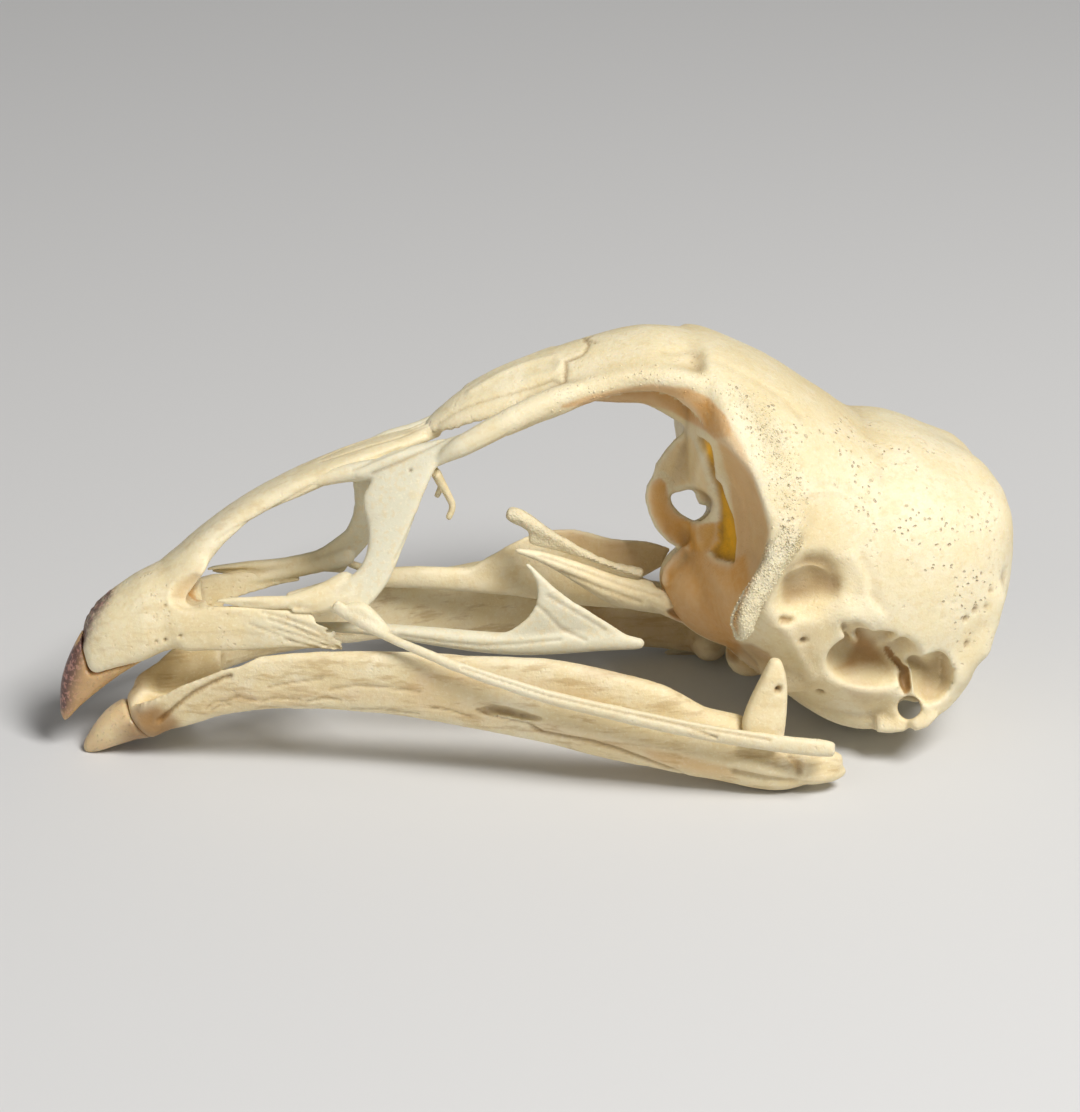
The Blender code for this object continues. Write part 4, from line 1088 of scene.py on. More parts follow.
BROW_BAR = [
    (490, 431, -4.8, 0.72), (504, 423.5, -4.8, 0.93), (524, 413.5, -4.8, 0.98),
    (546, 403.5, -4.8, 0.98), (570, 394, -4.8, 0.86), (592, 387, -4.8, 0.5)]
RIDGE_LINES = [
    [(852, 556), (862, 578), (866, 600), (880, 618)], [(786, 628), (800, 654), (812, 676)]]
NAPE_NOTCHES = [(1004, 578), (1002, 606)]
BRAIN_PORES = [
    (660, 350), (720, 350), (800, 396), (850, 404), (920, 430), (975, 470), (1005, 520),
    (1008, 570), (1000, 620), (965, 690), (940, 640), (900, 610), (862, 560), (840, 500),
    (800, 470), (770, 430), (720, 385), (680, 368)]
PROCESS = [
    (16.7, -12.4, 21.6, 0.4), (16.2, -12.85, 20.4, 0.58), (15.2, -13.0, 18.9, 0.68),
    (14.0, -13.0, 16.9, 0.68), (13.2, -13.0, 15.0, 0.86), (13.0, -13.0, 13.9, 0.9),
    (12.95, -13.0, 13.1, 0.5)]
SUTURE = [
    (565, 381), (566, 371), (566, 361), (574, 358), (582, 355), (586, 350), (589, 344), (585, 340),
    (590, 336)]
HUMP_EDGE = [(436, 425), (455, 412), (475, 403), (500, 396), (530, 388), (552, 380), (562, 384)]
HUMP_RIDGE = [(470, 392), (500, 374), (530, 362), (556, 356), (562, 362), (556, 372), (530, 378)]


# Mark, outline, strength, the edge's fade in pixels and whether it is on both sides
# Painted shade: the fossa and its deep part, the area below it, the temple, the ear's dark part,
# the crack, the far process's crescent, the socket's roof under the brow and the base lobes are
# darkened where they lie in shadow. The ear's slope and the socket's inner wall are partly their
# own tan and partly painted shade.
BRAINCASE_PAINT = (
    ("stain", FOSSA, 0.46, 14, True), ("rust", BELOW_FOSSA, 0.26, 18, True),
    ("stain", BELOW_FOSSA, 0.3, 20, True), ("stain", TEMPLE, 0.13, 30, True),
    ("rust", FOSSA_DEEP, 0.14, 12, True), ("amber", YELLOW_DENT, 0.35, 5, True),
    ("rust", EAR_DARK, 0.5, 14, True), ("stain", EAR_DARK, 0.75, 16, True),
    ("rust", EAR_SLOPE, 0.28, 14, True), ("stain", EAR_SLOPE, 0.42, 14, True),
    ("stain", CUP, 0.25, 8, True), ("rust", CUP, 0.3, 8, True), ("stain", CRACK, 0.9, 1.5, True),
    ("rust", CRESCENT, 0.95, 4), ("amber", CRESCENT, 0.42, 4), ("pale", PALE_PLATE, 0.2, 3),
    ("amber", PALE_PLATE, 0.42, 6), ("rust", SOCKET_ROOF, 0.85, 5, True),
    ("rust", SOCKET_INNER, 0.7, 8, True), ("stain", SOCKET_INNER, 0.2, 14, True),
    ("amber", AMBER_SKIN, 1.0, 4), ("rust", SOCKET_WALL, 0.92, 14),
    ("stain", BROWN_KNOB, 0.6, 5), ("stain", BASE_LOBES, 0.5, 8), ("rust", BROWN_KNOB, 0.35, 6))

# Line, width, depth, whether it is on both sides, the mark painted along it and its strength
BRAINCASE_CARVING = (
    (SOCKET_LIP, 0.45, -0.45, False, "rust", 0.8), (TEMPORAL_LINE, 0.5, 0.10, True),
    (FAINT_ARC, 0.25, -0.12, True), (SUTURE, 0.13, 0.16, True, "hollow", 0.8),
    (HUMP_EDGE, 0.15, 0.13, True, "hollow", 0.1), (HUMP_RIDGE, 0.3, -0.12, True),
    *((line, 0.5, -0.22, True) for line in RIDGE_LINES),
    *((line, width, -height, True) for line, width, height in NAPE_SWELLS))


def build_braincase(bone):
    """Carves and paints the braincase, and lays its granules."""
    shape = copy_of("cranium", "cranium_bone")
    added = [rod(PROCESS), rod(mirrored_side(PROCESS[:4])), *rod_pair(photo_rows(BROW_BAR))]
    added += [core(shape, lip, LIP_LEVELS, anchor=spot)
              for lip, spot in zip(KEYHOLE_LIPS, LIP_ANCHORS)]
    # The crescent sheet stands for the far process seen through the socket, and its brown is
    # painted shade
    added += [plate(CRESCENT, 0.0, CRESCENT_THICKNESS), plate(SEPTUM, 0.0, SEPTUM_THICKNESS)]
    bridges = both(lump, shape, EAR_TWIG)
    boolean_with(shape, added, "UNION")
    struts = [lump(shape, rows, turned) for rows in EAR_STRUTS for turned in turns(True)]
    cut = both(bowl, shape, EAR, EAR_DEPTH, anchor=EAR_RIM, deepest=EAR_DEEPEST)
    cut += both(bowl, shape, CUP, CUP_DEPTH, deepest=CUP_DEEPEST)
    cut.append(plate(FAR_PROCESS_END, FAR_PROCESS_ACROSS, FAR_PROCESS_THICKNESS))
    boolean_with(shape, cut, "DIFFERENCE")
    cut = [core(shape, PLATE_HOLE, PLATE_HOLE_LEVELS, anchor=PLATE_ANCHOR)]
    cut += both(core, shape, CRACK, CRACK_LEVELS, anchor=CRACK_ANCHOR)
    cut.append(core(shape, KEYHOLE, KEYHOLE_LEVELS, anchor=LIP_ANCHORS[0]))
    boolean_with(shape, cut, "DIFFERENCE")
    boolean_with(shape, bridges, "UNION")
    boolean_with(shape, struts, "UNION")
    skin = Skin(fine_skin(shape, bone.skin_size, THICK_SMOOTHING))

    skin.sink_area(FOSSA, 0.55, 13, True)
    skin.sink_area(FOSSA_DEEP, 0.35, 12, True)
    skin.even_area(FOSSA_WIDE, 10, 6, True)
    skin.even_area(SOCKET_WALL, 50, 12)
    skin.pits(FOSSA_HOLES, 0.3, 0.6, 0.5, True)
    skin.sink_area(YELLOW_DENT, 0.45, 5, True)
    skin.sink_area(AMBER_SKIN, 0.35, 3)
    # The table paints the bone's own colours and, in shaded places, painted shade
    for row in BRAINCASE_PAINT:
        skin.paint_area(*row)
    for row in BRAINCASE_CARVING:
        skin.carve(*row)
    skin.points[:, 0] = np.minimum(skin.points[:, 0], SOLID_BOX[1].x / MM - BOX_CLEARANCE)
    skin.pits(NAPE_PITS, 0.22, 0.4, 0.4, True)
    skin.pits(BASE_HOLES, 0.24, 0.6, 0.9, True)
    skin.pits(NAPE_NOTCHES, 0.8, 0.3, 0.0, True)
    for line in RIM_GRAINS:
        skin.paint("rough", line, 0.9, 0.36, True)
        skin.paint("pores", line, 0.9, 0.9, True)
        skin.paint("stain", line, 0.8, 0.08, True)
    for path in (PROCESS, mirrored_side(PROCESS[:4])):
        skin.paint_round("rough", path[1:], 1.25, 1.0)
        skin.paint_round("stain", path, 1.25, 0.08)
    skin.paint("rough", BROW_RIM, 0.7, 0.2, True)
    skin.paint_area("pores", BRAIN_PORES, 0.75, 30, True)
    shape = finish_bone(skin, bone, "cranium", fibre=0.0)
    scatter_granules(shape, bone, "rim_granules", GRANULE_SEED)


# The upper bill

HORN_BAND = [(107, 600), (98, 612), (90, 626), (82, 642), (76, 660), (72, 676), (76, 690)]
FORAMINA = [
    (105, 636), (112, 638), (120, 640), (127, 640), (135, 639), (142, 641), (156, 641), (165, 640),
    (180, 636)]
BILL_PITS = [(132, 587), (148, 584), (140, 619), (156, 617), (124, 604), (165, 605)]
NOSTRIL_POCKET = [
    (164, 600), (164, 588), (170, 577), (184, 566), (206, 552), (214, 570), (204, 600), (196, 612),
    (180, 610), (170, 606)]
BILL_PORES = [(110, 560), (330, 560), (330, 660), (90, 660)]
HORN_SEAM = -28.6
SEAM_REACH = 1.5
SEAM_SWELL = 0.24
FRAYED_LEVELS = [(-3.0, 1.0), (2.6, 1.0)]
FAR_WINDOW_ACROSS = 4.8
FAR_WINDOW_THICKNESS = 3.0
NOSTRIL_RADII = (1.9, 1.1, 1.9)
NOSTRIL_DEPTH = 0.55
FRAYED_CUT = [
    (300, 600), (356, 600), (358, 656), (350, 656), (346, 652), (350, 648), (338, 645), (343, 641),
    (331, 639), (336, 634), (322, 632), (328, 628), (312, 624), (316, 620)]
FAR_WINDOW = [(222, 600), (240, 593.5), (274, 585), (313, 579), (330, 579), (330, 606), (222, 606)]
FAR_BAR = [
    (188, 601, 4.2, 0.42), (205, 592, 4.3, 0.5), (228, 585, 4.5, 0.52), (256, 578.5, 4.8, 0.55),
    (290, 571, 5.0, 0.6), (322, 563, 5.1, 0.7), (346, 556, 5.2, 0.8)]
FRAYED_PALE = [(240, 608), (300, 608), (358, 620), (358, 660), (240, 660)]
FAR_SPIKE = [
    (212, 570.5, 4.7, 0.12), (236, 571.5, 4.8, 0.32), (258, 571, 4.9, 0.42), (282, 568, 5.0, 0.45)]
FIBRES = [
    [(290, 616, 0.12, 0.02), (318, 625, 0.11, 0.02), (340, 634, 0.05, 0.1)],
    [(286, 622, 0.12, 0.02), (316, 632, 0.11, 0.02), (345, 643, 0.05, 0.1)],
    [(282, 629, 0.12, 0.02), (315, 640, 0.11, 0.02), (350, 649, 0.05, 0.1)],
    [(280, 636, 0.12, 0.02), (312, 645, 0.10, 0.02), (346, 652, 0.05, 0.1)]]
STREAKS = [
    [(268, 619), (296, 628), (322, 640), (340, 648)], [(272, 628), (300, 636), (324, 645),
    (344, 652)], [(262, 612), (285, 618), (306, 626), (326, 636)], [(285, 640), (310, 646),
    (335, 652)], [(250, 624), (270, 632), (292, 641)]]
CULMEN_STRIP = [
    (385, 448, -0.45, 0.45), (405, 441, -0.45, 0.55), (425, 433, -0.45, 0.58),
    (440, 424.5, -0.5, 0.56), (455, 415, -0.5, 0.5), (474, 404, -0.5, 0.3)]
NOSTRIL_DISH = (186, 588)
CULMEN_GROOVES = [
    [(215, 540), (260, 515), (310, 487), (350, 468)], [(320, 462), (360, 449), (400, 437),
    (430, 424)], [(330, 474), (370, 460), (400, 449)]]


def meet_horn(skin, seam):
    """Swells a bone's front end a little, so that it meets the horn."""
    reach = np.clip((seam - skin.upright[:, 0]) / SEAM_REACH, 0, 1)
    skin.points += skin.normals * (SEAM_SWELL * reach)[:, None]


def build_bill(bone):
    """Carves and paints the upper bill's bone."""
    shape = copy_of("premaxilla", "premaxilla_bone")
    boolean_with(shape, rod_pair(photo_rows(CULMEN_STRIP)), "UNION")
    fibres = [lump(shape, rows, sides=6) for rows in FIBRES]
    cut = both(core, shape, FRAYED_CUT, FRAYED_LEVELS)
    cut += both(dish, shape, NOSTRIL_DISH, NOSTRIL_RADII, NOSTRIL_DEPTH)
    cut.append(plate(FAR_WINDOW, FAR_WINDOW_ACROSS, FAR_WINDOW_THICKNESS))
    boolean_with(shape, cut, "DIFFERENCE")
    boolean_with(shape, fibres + [rod(photo_rows(FAR_BAR[:5]))], "UNION")
    skin = thin_skin(shape, bone.thin_skin_size)
    meet_horn(skin, HORN_SEAM)
    skin.paint("horn", HORN_BAND, 0.85, 1.0, True)
    skin.paint("rough", HORN_BAND, 0.9, 1.0, True)
    # Painted shade in the pocket that leads into the nostril
    skin.paint_area("rust", NOSTRIL_POCKET, 0.5, 14, True)
    skin.paint_area("pale", FRAYED_PALE, 0.45, 16, True)
    skin.pits(FORAMINA, 0.13, 0.28, 0.7, True)
    skin.pits(BILL_PITS, 0.10, 0.16, 0.5, True)
    skin.grooves(STREAKS + CULMEN_GROOVES, 0.12, 0.10, 0.04, True)
    skin.paint_area("pores", BILL_PORES, 0.25, 20, True)
    finish_bone(skin, bone, "premaxilla", pore_size=0.0005, fibre=0.3,
                relief=0.6)


# The horn of both tips

TIP_GRANULES = [(104, 602), (92, 620), (82, 640), (74, 660), (66, 684), (63, 700)]
HORN_SWELL = 0.08
HORN_PUSH = 0.45

# How the jaw's front half drops, as distances along it with the drop in millimetres
JAW_SAG = (
    (-34.6, 0.0), (-32.5, 0.55), (-29.6, 1.35), (-27.0, 1.1), (-21.0, 0.85), (-14.0, 0.95),
    (-8.0, 0.5), (0.0, 0.0))
TIP_DROP = ((-34.0, 0.0), (-31.5, 0.75), (-29.0, 0.8), (-27.0, 0.5), (-24.5, 0.0))
SAG_TOP = ((-34.6, 3.0), (-30.0, 6.5), (-22.0, 9.5), (-12.0, 10.6), (0.0, 10.6))


def sag_jaw(points):
    """Deepens the lower edge of the jaw's front half, where the solid is shallower."""
    drop = np.interp(points[:, 0], *zip(*JAW_SAG))
    top = np.interp(points[:, 0], *zip(*SAG_TOP))
    share = 0.35 + 0.65 * np.clip((top - points[:, 2]) / 3.2, 0, 1)
    lower = np.interp(points[:, 0], *zip(*TIP_DROP)) * np.clip((points[:, 2] - 2.5) / 2.5, 0, 1)
    points[:, 2] = np.maximum(points[:, 2] - drop * share - lower, 0.02)


def shape_lower_horn(skin):
    """Pushes the lower horn's root into the jaw and paints it cream, brown low at the root."""
    behind_tip = skin.points[:, 0] - skin.points[:, 0].min()
    root = behind_tip / behind_tip.max()
    rearward = skin.points[root > 0.9].mean(0) - skin.points[root.argmin()]
    rearward /= np.linalg.norm(rearward)
    skin.points += rearward * (HORN_PUSH * np.clip(4.0 * root - 3.0, 0, 1))[:, None]
    sag_jaw(skin.points)
    near_seam = np.clip(3.0 * root - 1.2, 0, 1)
    low_down = np.clip((4.1 - skin.points[:, 2]) / 1.3, 0, 1)
    skin.marks["stain"] = 0.7 * near_seam * low_down
    skin.marks["pale"] = np.clip((skin.points[:, 2] + 1.0) / 3.0, 0.6, 0.95)


def build_horn(horn):
    """Finishes the horn of the upper and of the lower tip."""
    for node in ("horn_upper", "horn_lower"):
        skin = thin_skin(copy_of(node, node + "_tip"), HORN_SKIN_SIZE)
        skin.points += skin.normals * HORN_SWELL
        if node == "horn_lower":
            shape_lower_horn(skin)
        else:
            skin.paint("horn", TIP_GRANULES, 1.0, 1.0, True)
        made = skin.write()
        made.data.materials.append(horn_material(node + "_finish", horn))
        made.data.shade_smooth()
        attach(made, "root")
        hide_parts(node)


# The nasals

NOSTRIL_TOP = [
    (-19.8, -1.3, 20.9, 0.3), (-17.6, -1.5, 21.6, 0.5), (-15.5, -1.9, 22.3, 0.68),
    (-13.7, -2.3, 22.7, 0.8), (-11.8, -2.6, 23.1, 0.7)]
NASAL_BAR = [
    (438, 462, -4.0, 0.35), (448, 454, -4.2, 0.62), (460, 447, -4.45, 0.8),
    (474, 439.5, -4.6, 0.86), (488, 432, -4.7, 0.9), (504, 423.5, -4.8, 0.9),
    (514, 418.5, -4.8, 0.75)]
BAR_END = [(478, 400), (530, 400), (530, 460), (478, 460)]
BAR_ANCHOR = (472, 440)
BAR_END_LEVELS = [(-3.0, 1.0), (3.0, 1.0)]
NASAL_PALENESS = ((-17.5, 0.0), (-13.5, 1.0), (-9.0, 1.0), (-5.5, 0.1))
NASAL_FOOT = [
    (222, 602, 0.1, 0.05), (250, 605, 0.28, 0.2), (280, 603, 0.45, 0.35), (305, 598, 0.62, 0.5),
    (328, 591, 0.78, 0.65), (346, 582, 0.85, 0.8)]
NASAL_FOOT_LOW = [
    (292, 611, 0.12, 0.1), (312, 609, 0.35, 0.3), (335, 602, 0.6, 0.5), (356, 592, 0.7, 0.65)]
NASAL_GROOVES = [
    [(352, 470), (380, 458), (410, 446), (438, 434)], [(372, 474), (400, 462), (428, 448),
    (450, 436)], [(385, 452), (412, 442)], [(395, 560), (405, 540), (418, 510)]]
NASAL_HOLE = [(410, 470)]


def build_nasals(bone):
    """Carves and paints both nasals, and ends the bars that meet them."""
    bar = photo_rows(NASAL_BAR)
    for side, turn in (("left", list), ("right", mirrored_side)):
        shape = copy_of("nasal_" + side, "nasal_" + side + "_bone")
        added = [rod(turn(NOSTRIL_TOP)), rod(turn(bar))]
        if side == "left":
            added += [lump(shape, NASAL_FOOT), lump(shape, NASAL_FOOT_LOW)]
            cut = [core(shape, BAR_END, BAR_END_LEVELS, anchor=BAR_ANCHOR)]
            boolean_with(shape, cut, "DIFFERENCE")
        else:
            added += [rod(photo_rows(FAR_BAR[3:])), rod(photo_rows(FAR_SPIKE))]
        boolean_with(shape, added, "UNION")
        skin = thin_skin(shape, bone.thin_skin_size)
        skin.marks["pale"] = 0.75 * np.interp(skin.upright[:, 0], *zip(*NASAL_PALENESS))
        if side == "left":
            skin.grooves(NASAL_GROOVES, 0.12, 0.12, 0.12)
            skin.pits(NASAL_HOLE, 0.12, 0.2, 0.8)
        finish_bone(skin, bone, "nasal_" + side, grain=0.45, fibre=0.1, relief=0.4)


def build_lacrimals(bone):
    """Finishes both small hooks in front of the eyes."""
    for node in ("lacrimal_left", "lacrimal_right"):
        finish_bone(thin_bone(node, bone, LACRIMAL_SKIN_SIZE), bone, node)


# The palate

WING_GROOVES = [
    [(400, 636), (440, 642), (480, 646), (520, 644), (560, 640)], [(530, 600), (545, 612),
    (560, 628), (585, 640)], [(548, 596), (575, 612), (605, 630)]]
SPUR_EDGE = [(521, 560), (530, 572), (534, 590), (528, 606)]
ROSTRUM_ROOT = [
    (630, 588, 0.5, 0.5), (652, 597, 0.85, 0.7), (676, 606, 1.05, 0.9), (700, 614, 1.1, 1.3),
    (716, 620, 0.9, 1.8)]
ROSTRUM_RECESS = [
    (664, 612), (674, 607), (688, 610), (700, 617), (704, 624), (692, 628), (676, 622)]
RECESS_DEPTH = 0.7
RECESS_CHIP = [(684, 624, 0.1, 0.1), (692, 621, 0.2, 0.05), (703, 618, 0.1, 0.1)]
ROSTRUM_REAR = [(650, 560), (740, 560), (740, 650), (650, 650)]
ROSTRUM_GROOVES = [
    [(540, 556), (580, 570), (620, 584), (660, 596)], [(560, 572), (600, 588), (640, 602)]]
ROD_GRAINS = [(508, 508), (520, 520), (540, 530), (570, 545), (600, 558), (640, 572)]
BROWN_STRIP = [
    (520, 515), (556, 520), (600, 532), (640, 536), (690, 538), (700, 580), (650, 582), (600, 572),
    (560, 552), (520, 530)]


def build_palate(bone):
    """Finishes both palatines, the rostrum and the nose plate."""
    skin = thin_bone("palatine_left", bone)
    skin.marks["pale"][:] = 0.8
    skin.grooves(WING_GROOVES, 0.16, 0.10, 0.1)
    skin.grooves([SPUR_EDGE], 0.2, 0.15, 0.3)
    finish_bone(skin, bone, "palatine_left", grain=0.6, relief=0.55)
    skin = thin_bone("palatine_right", bone)
    # Painted shade: the far palatine lies in shadow, so it is darkened all over, and the strip
    # seen behind the rostrum is darkened more
    skin.marks["stain"][:] = 0.18
    for mark, strength in (("stain", 0.35), ("rust", 0.4), ("amber", 0.28)):
        skin.paint_area(mark, BROWN_STRIP, strength, 8)
    finish_bone(skin, bone, "palatine_right", tone=0.1)
    shape = copy_of("rostrum", "rostrum_bone")
    boolean_with(shape, [lump(shape, ROSTRUM_ROOT)], "UNION")
    boolean_with(shape, [bowl(shape, ROSTRUM_RECESS, RECESS_DEPTH)], "DIFFERENCE")
    boolean_with(shape, [lump(shape, RECESS_CHIP, sides=6)], "UNION")
    skin = thin_skin(shape, bone.thin_skin_size)
    # Painted shade in the recess
    skin.paint_area("stain", ROSTRUM_RECESS, 0.7, 3)
    skin.paint("pale", [row[:2] for row in RECESS_CHIP], 0.25, 0.9)
    # Painted shade towards the dark back of the rostrum
    skin.paint_area("rust", ROSTRUM_REAR, 0.6, 24)
    skin.grooves(ROSTRUM_GROOVES, 0.16, 0.12, 0.2)
    finish_bone(skin, bone, "rostrum")
    skin = thin_bone("nose_plate", bone)
    skin.paint("rough", ROD_GRAINS, 0.9, 1.0)
    finish_bone(skin, bone, "nose_plate")


# The lower jaw

JAW_TROUGH = [
    (100, 700), (122, 684), (150, 664), (180, 648), (230, 634), (268, 630), (262, 652), (240, 662),
    (212, 668), (182, 674), (160, 682), (138, 693), (118, 704), (106, 712)]
TROUGH_ANCHOR = (175, 672)
TROUGH_LEVELS = [(-2.0, 1.0), (1.8, 1.0), (2.6, 0.94)]
FENESTRA_DEPTH = 0.9
JAW_STAINS = [
    [(137, 712), (144, 714), (150, 706), (154, 698)], [(141, 706), (150, 712), (160, 710),
    (168, 708)]]
SPLINT_SLIT = [(159, 701), (178, 690), (193, 682), (212, 676), (230, 671)]
JAW_VESSELS = [
    [(206, 696), (214, 692), (226, 692), (238, 688)], [(211, 699), (220, 695), (230, 695)],
    [(236, 688), (262, 692), (276, 689), (300, 690)], [(306, 692), (326, 688), (340, 690)],
    [(300, 701), (326, 697), (346, 699)], [(352, 698), (380, 699), (418, 706)], [(246, 702),
    (262, 697), (292, 698)], [(330, 681), (356, 677), (384, 679), (420, 685)], [(268, 680),
    (290, 676), (322, 672)], [(430, 700), (452, 705), (470, 712)]]
JAW_TAN = [
    [(206, 694), (260, 690), (320, 684), (380, 686), (440, 700), (500, 716)], [(300, 700),
    (360, 704), (420, 716)], [(540, 728), (600, 742), (660, 756), (720, 772)], [(420, 672),
    (480, 676), (540, 690), (600, 706)]]
FENESTRA = [
    (478, 704), (492, 700), (510, 704), (530, 711), (548, 718), (540, 722), (522, 718), (500, 712),
    (486, 709)]
JAW_GROOVE = [
    (478, 706), (502, 714), (527, 721), (542, 732), (566, 737), (594, 742), (620, 750), (643, 759),
    (664, 767), (686, 775)]
ANGULAR_LINE = [(560, 728), (600, 735), (650, 745), (700, 756), (728, 764)]
JOINT_KNOB = [
    (728, 762, 0.4, 0.3), (738, 761, 0.65, 0.3), (752, 763, 0.75, 0.35), (770, 769, 0.7, 0.35),
    (786, 774, 0.5, 0.4)]
HEEL_KNOB = [
    (800, 778, 0.5, 0.4), (814, 776, 0.65, 0.4), (830, 773, 0.7, 0.5), (840, 771, 0.5, 0.6)]
JOINT_RECESS = [(792, 757), (798, 764), (800, 772)]
HEEL_GROOVE = [(735, 772), (755, 776), (780, 780), (800, 782)]
FAR_RAMUS = [(346, 570), (620, 570), (620, 660), (346, 660)]
FAR_LOBE = [(560, 580), (780, 580), (780, 700), (560, 700)]
JAW_RUST = [(640, 740), (700, 748), (730, 758), (760, 776), (740, 790), (690, 782), (640, 768)]


def build_jaw(bone):
    """Carves and paints the lower jaw."""
    shape = copy_of("mandible", "mandible_bone")
    cut = [core(shape, JAW_TROUGH, TROUGH_LEVELS, anchor=TROUGH_ANCHOR),
           bowl(shape, FENESTRA, FENESTRA_DEPTH)]
    knobs = both(lump, shape, JOINT_KNOB) + both(lump, shape, HEEL_KNOB)
    boolean_with(shape, cut, "DIFFERENCE")
    boolean_with(shape, knobs, "UNION")
    skin = thin_skin(shape, bone.thin_skin_size * JAW_SKIN_SHARE)
    meet_horn(skin, HORN_SEAM)
    for line in JAW_STAINS:
        skin.paint("rust", line, 1.2, 0.4)
        skin.paint("stain", line, 1.1, 0.95)
        skin.paint("hollow", line, 0.8, 0.75)
    skin.grooves([SPLINT_SLIT], 0.15, 0.32, 0.4)
    skin.grooves(JAW_VESSELS, 0.10, 0.12, 0.1)
    for line in JAW_TAN:
        skin.paint("rust", line, 1.3, 0.36)
    skin.grooves([JAW_GROOVE], 0.18, 0.24, 0.2)
    skin.carve(ANGULAR_LINE, 0.35, -0.12)
    skin.carve(JOINT_RECESS, 0.35, 0.4)
    skin.carve(HEEL_GROOVE, 0.3, 0.18)
    # Painted shade: the slit, the far jaw and its rear lobe, and the strip seen behind the rostrum
    # are darkened where they lie in shadow
    for mark, outline, strength, soft in (
            ("rust", JAW_RUST, 0.2, 14), ("stain", FENESTRA, 0.35, 5),
            ("stain", FAR_RAMUS, 0.26, 25), ("stain", FAR_LOBE, 0.55, 40),
            ("rust", FAR_LOBE, 0.3, 40), ("rust", BROWN_STRIP, 0.7, 6)):
        skin.paint_area(mark, outline, strength, soft)
    sag_jaw(skin.points)
    finish_bone(skin, bone, "mandible", tone=0.14, fibre=0.7)


# The cheek rods and quadrates

CHEEK_ROOT = [
    (341, 613, 0.12, 0.1), (350, 609, 0.42, 0.3), (361, 610, 0.6, 0.45), (373, 618, 0.5, 0.35),
    (388, 631, 0.25, 0.15)]
CHEEK_GROOVE = [(463, 668), (511, 684), (548, 696), (625, 713), (701, 728), (770, 740)]
CHEEK_SPLICE = [(640, 716), (670, 722), (701, 732), (716, 738)]
QUADRATE_HOLE = [(779, 690)]


def build_cheeks(bone):
    """Finishes both cheek rods and both quadrates."""
    shape = copy_of("jugal_left", "jugal_left_bone")
    boolean_with(shape, [lump(shape, CHEEK_ROOT)], "UNION")
    skin = thin_skin(shape, bone.thin_skin_size)
    skin.marks["pale"][:] = 0.25
    skin.grooves([CHEEK_GROOVE], 0.12, 0.16, 0.3)
    skin.grooves([CHEEK_SPLICE], 0.14, 0.18, 0.3)
    finish_bone(skin, bone, "jugal_left")
    skin = thin_bone("quadrate_left", bone)
    skin.pits(QUADRATE_HOLE, 0.26, 0.7, 1.0)
    finish_bone(skin, bone, "quadrate_left")
    for node in ("jugal_right", "quadrate_right"):
        skin = thin_bone(node, bone)
        # Painted shade: the far cheek rod and quadrate lie in shadow and are darkened all over
        skin.marks["stain"][:] = 0.12
        finish_bone(skin, bone, node, tone=0.1)


# The studio

# Each light's name, its power's setting, its width, its place, what it points at and its colour
LIGHTS = (
    ("key", "key_power", 0.17, (0.16, -0.22, 0.40), (0, 0, 0.015), (1.0, 0.97, 0.92)),
    ("fill", "fill_power", 0.40, (-0.34, -0.28, 0.17), (0, 0, 0.012), (1.0, 0.96, 0.90)))
ROOM_COLOUR = (1.0, 0.99, 0.97, 1.0)
FLOOR_ROUGHNESS = 0.85
NEAREST_SEEN = 0.01
FARTHEST_SEEN = 20.0


def area_light(name, power, size, place, target, colour):
    """A square light that points at a target."""
    light = bpy.data.lights.new(name, "AREA")
    light.energy = power
    light.size = size
    light.color = colour
    made = link(name, light)
    made.location = Vector(place)
    made.rotation_euler = (Vector(target) - Vector(place)).to_track_quat("-Z", "Y").to_euler()


def build_studio(studio):
    """The paper floor, both lights, the room's own light and the photograph's camera."""
    half = studio.floor_size / 2
    mesh = bpy.data.meshes.new("floor")
    mesh.from_pydata([(-half, -half, 0), (half, -half, 0), (half, half, 0), (-half, half, 0)], [],
                     [(0, 1, 2, 3)])
    floor = link("floor", mesh)
    paper, tree, shader, where = new_material("floor_paper")
    # Patchy tone of the paper, up to a tenth darker in places
    worn = tree.times(tree.noise(where, 6.0, 3.0), 0.12)
    tree.fill(shader, Roughness=FLOOR_ROUGHNESS, Base_Color=tree.mix(
        worn, studio.floor_colour, shade(studio.floor_colour, 0.9)))
    floor.data.materials.append(paper)

    for name, power, *rest in LIGHTS:
        area_light(name, getattr(studio, power), *rest)
    world = bpy.data.worlds.new("room")
    bpy.context.scene.world = world
    world.use_nodes = True
    Tree(world.node_tree).fill(world.node_tree.nodes["Background"], Color=ROOM_COLOUR,
                               Strength=studio.sky)

    place, right, up, forward = camera_axes(studio)
    lens = bpy.data.cameras.new("photo_camera")
    lens.sensor_width = SENSOR
    lens.lens = SENSOR * FOCAL_PIXELS / PHOTO_HEIGHT
    lens.clip_start = NEAREST_SEEN
    lens.clip_end = FARTHEST_SEEN
    camera = link("photo_camera", lens)
    turn = Matrix((right, up, -forward)).transposed()
    camera.matrix_world = Matrix.Translation(place * MM) @ turn.to_4x4()
    bpy.context.scene.camera = camera
    bpy.context.scene.view_settings.view_transform = "Standard"


class BonePart:
    """What the operators share."""
    bl_options = {"REGISTER", "UNDO"}


class SKULL_OT_braincase(BonePart, bpy.types.Operator):
    """Finish the braincase with the brow roof, the eye sockets and the base"""
    bl_idname = "skull.braincase"
    bl_label = "Braincase"

    def execute(self, context):
        build_braincase(context.scene.hen_skull_bone)
        return {"FINISHED"}


class SKULL_OT_bill(BonePart, bpy.types.Operator):
    """Finish the upper bill's bone"""
    bl_idname = "skull.bill"
    bl_label = "Upper bill"

    def execute(self, context):
        build_bill(context.scene.hen_skull_bone)
        return {"FINISHED"}


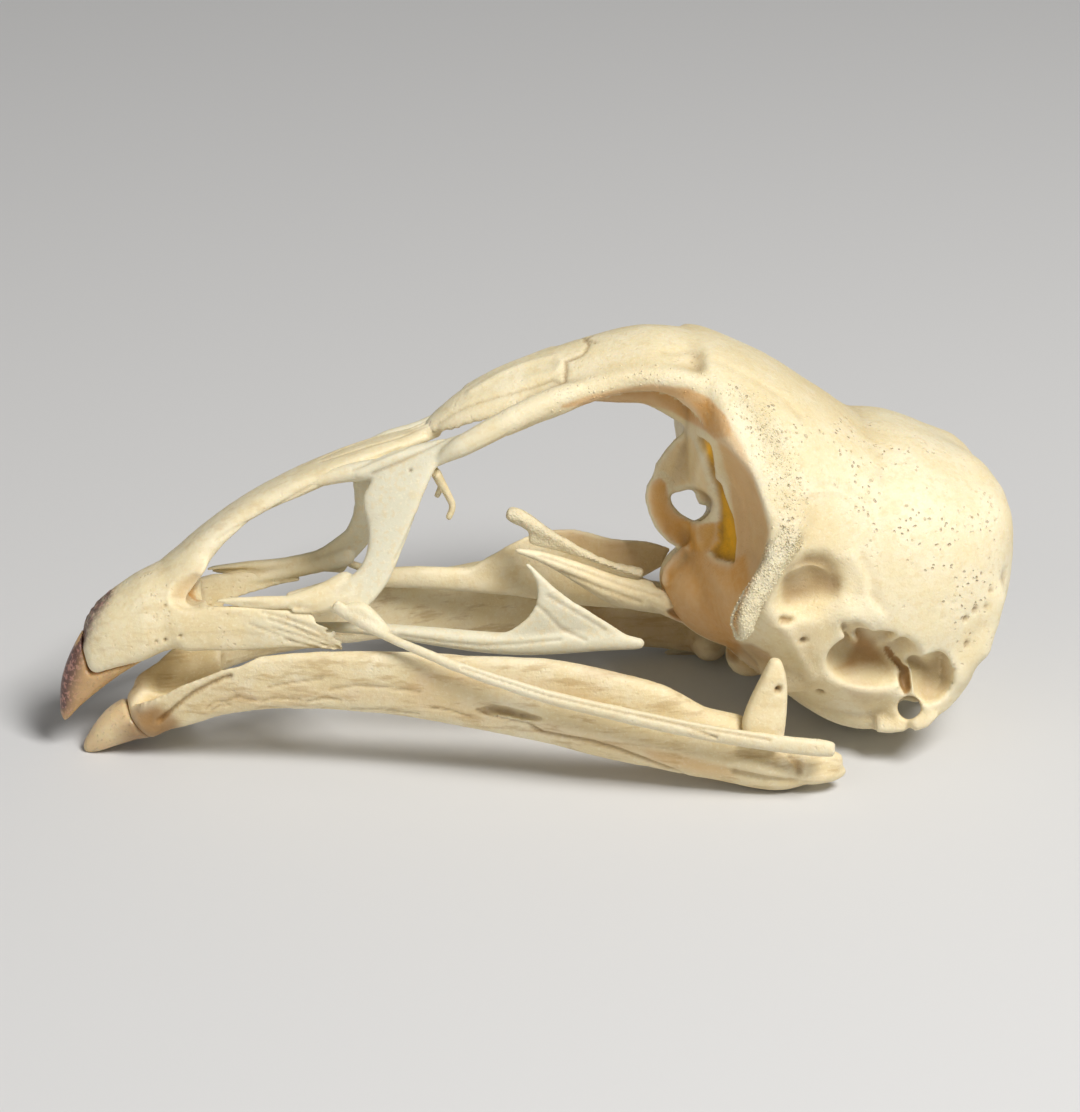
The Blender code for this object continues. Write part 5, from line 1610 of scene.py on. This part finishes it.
class SKULL_OT_horn(BonePart, bpy.types.Operator):
    """Finish the horn at the tips of both bills"""
    bl_idname = "skull.horn"
    bl_label = "Horn tips"

    def execute(self, context):
        build_horn(context.scene.hen_skull_horn)
        return {"FINISHED"}


class SKULL_OT_nasals(BonePart, bpy.types.Operator):
    """Finish the two pale plates behind the nostrils"""
    bl_idname = "skull.nasals"
    bl_label = "Nasals"

    def execute(self, context):
        build_nasals(context.scene.hen_skull_bone)
        return {"FINISHED"}


class SKULL_OT_lacrimals(BonePart, bpy.types.Operator):
    """Finish the two small hooks in front of the eyes"""
    bl_idname = "skull.lacrimals"
    bl_label = "Lacrimals"

    def execute(self, context):
        build_lacrimals(context.scene.hen_skull_bone)
        return {"FINISHED"}


class SKULL_OT_palate(BonePart, bpy.types.Operator):
    """Finish the palatines, the rostrum and the nose plate"""
    bl_idname = "skull.palate"
    bl_label = "Palate"

    def execute(self, context):
        build_palate(context.scene.hen_skull_bone)
        return {"FINISHED"}


class SKULL_OT_jaw(BonePart, bpy.types.Operator):
    """Finish the lower jaw"""
    bl_idname = "skull.jaw"
    bl_label = "Lower jaw"

    def execute(self, context):
        build_jaw(context.scene.hen_skull_bone)
        return {"FINISHED"}


class SKULL_OT_cheeks(BonePart, bpy.types.Operator):
    """Finish the cheek rods and the quadrates"""
    bl_idname = "skull.cheeks"
    bl_label = "Cheek rods"

    def execute(self, context):
        build_cheeks(context.scene.hen_skull_bone)
        return {"FINISHED"}


class SKULL_OT_studio(BonePart, bpy.types.Operator):
    """Set up the floor, the lights and the camera"""
    bl_idname = "skull.studio"
    bl_label = "Studio"

    def execute(self, context):
        build_studio(context.scene.hen_skull_studio)
        return {"FINISHED"}


OPERATORS = (
    SKULL_OT_braincase, SKULL_OT_bill, SKULL_OT_horn, SKULL_OT_nasals, SKULL_OT_lacrimals,
    SKULL_OT_palate, SKULL_OT_jaw, SKULL_OT_cheeks, SKULL_OT_studio)


class SKULL_PT_workshop(bpy.types.Panel):
    """Lists the skull's pieces and their settings."""
    bl_idname = "SKULL_PT_workshop"
    bl_label = "Hen skull"
    bl_space_type = "VIEW_3D"
    bl_region_type = "UI"
    bl_category = "Skull"

    def draw(self, context):
        column = self.layout.column()
        for operator in OPERATORS:
            column.operator(operator.bl_idname)
        for settings in (context.scene.hen_skull_bone, context.scene.hen_skull_horn,
                         context.scene.hen_skull_studio):
            box = self.layout.box()
            for name in settings.bl_rna.properties.keys():
                if name not in ("rna_type", "name"):
                    box.prop(settings, name)


SETTINGS = {"hen_skull_bone": HenSkullBone, "hen_skull_horn": HenSkullHorn,
            "hen_skull_studio": HenSkullStudio}


def register():
    for group in SETTINGS.values():
        bpy.utils.register_class(group)
    for operator in OPERATORS:
        bpy.utils.register_class(operator)
    bpy.utils.register_class(SKULL_PT_workshop)
    for name, group in SETTINGS.items():
        setattr(bpy.types.Scene, name, bpy.props.PointerProperty(type=group))


def unregister():
    for name in SETTINGS:
        delattr(bpy.types.Scene, name)
    bpy.utils.unregister_class(SKULL_PT_workshop)
    for operator in reversed(OPERATORS):
        bpy.utils.unregister_class(operator)
    for group in SETTINGS.values():
        bpy.utils.unregister_class(group)


def main():
    register()
    for operator in OPERATORS:
        area, name = operator.bl_idname.split(".")
        getattr(getattr(bpy.ops, area), name)()


if __name__ == "__main__":
    main()
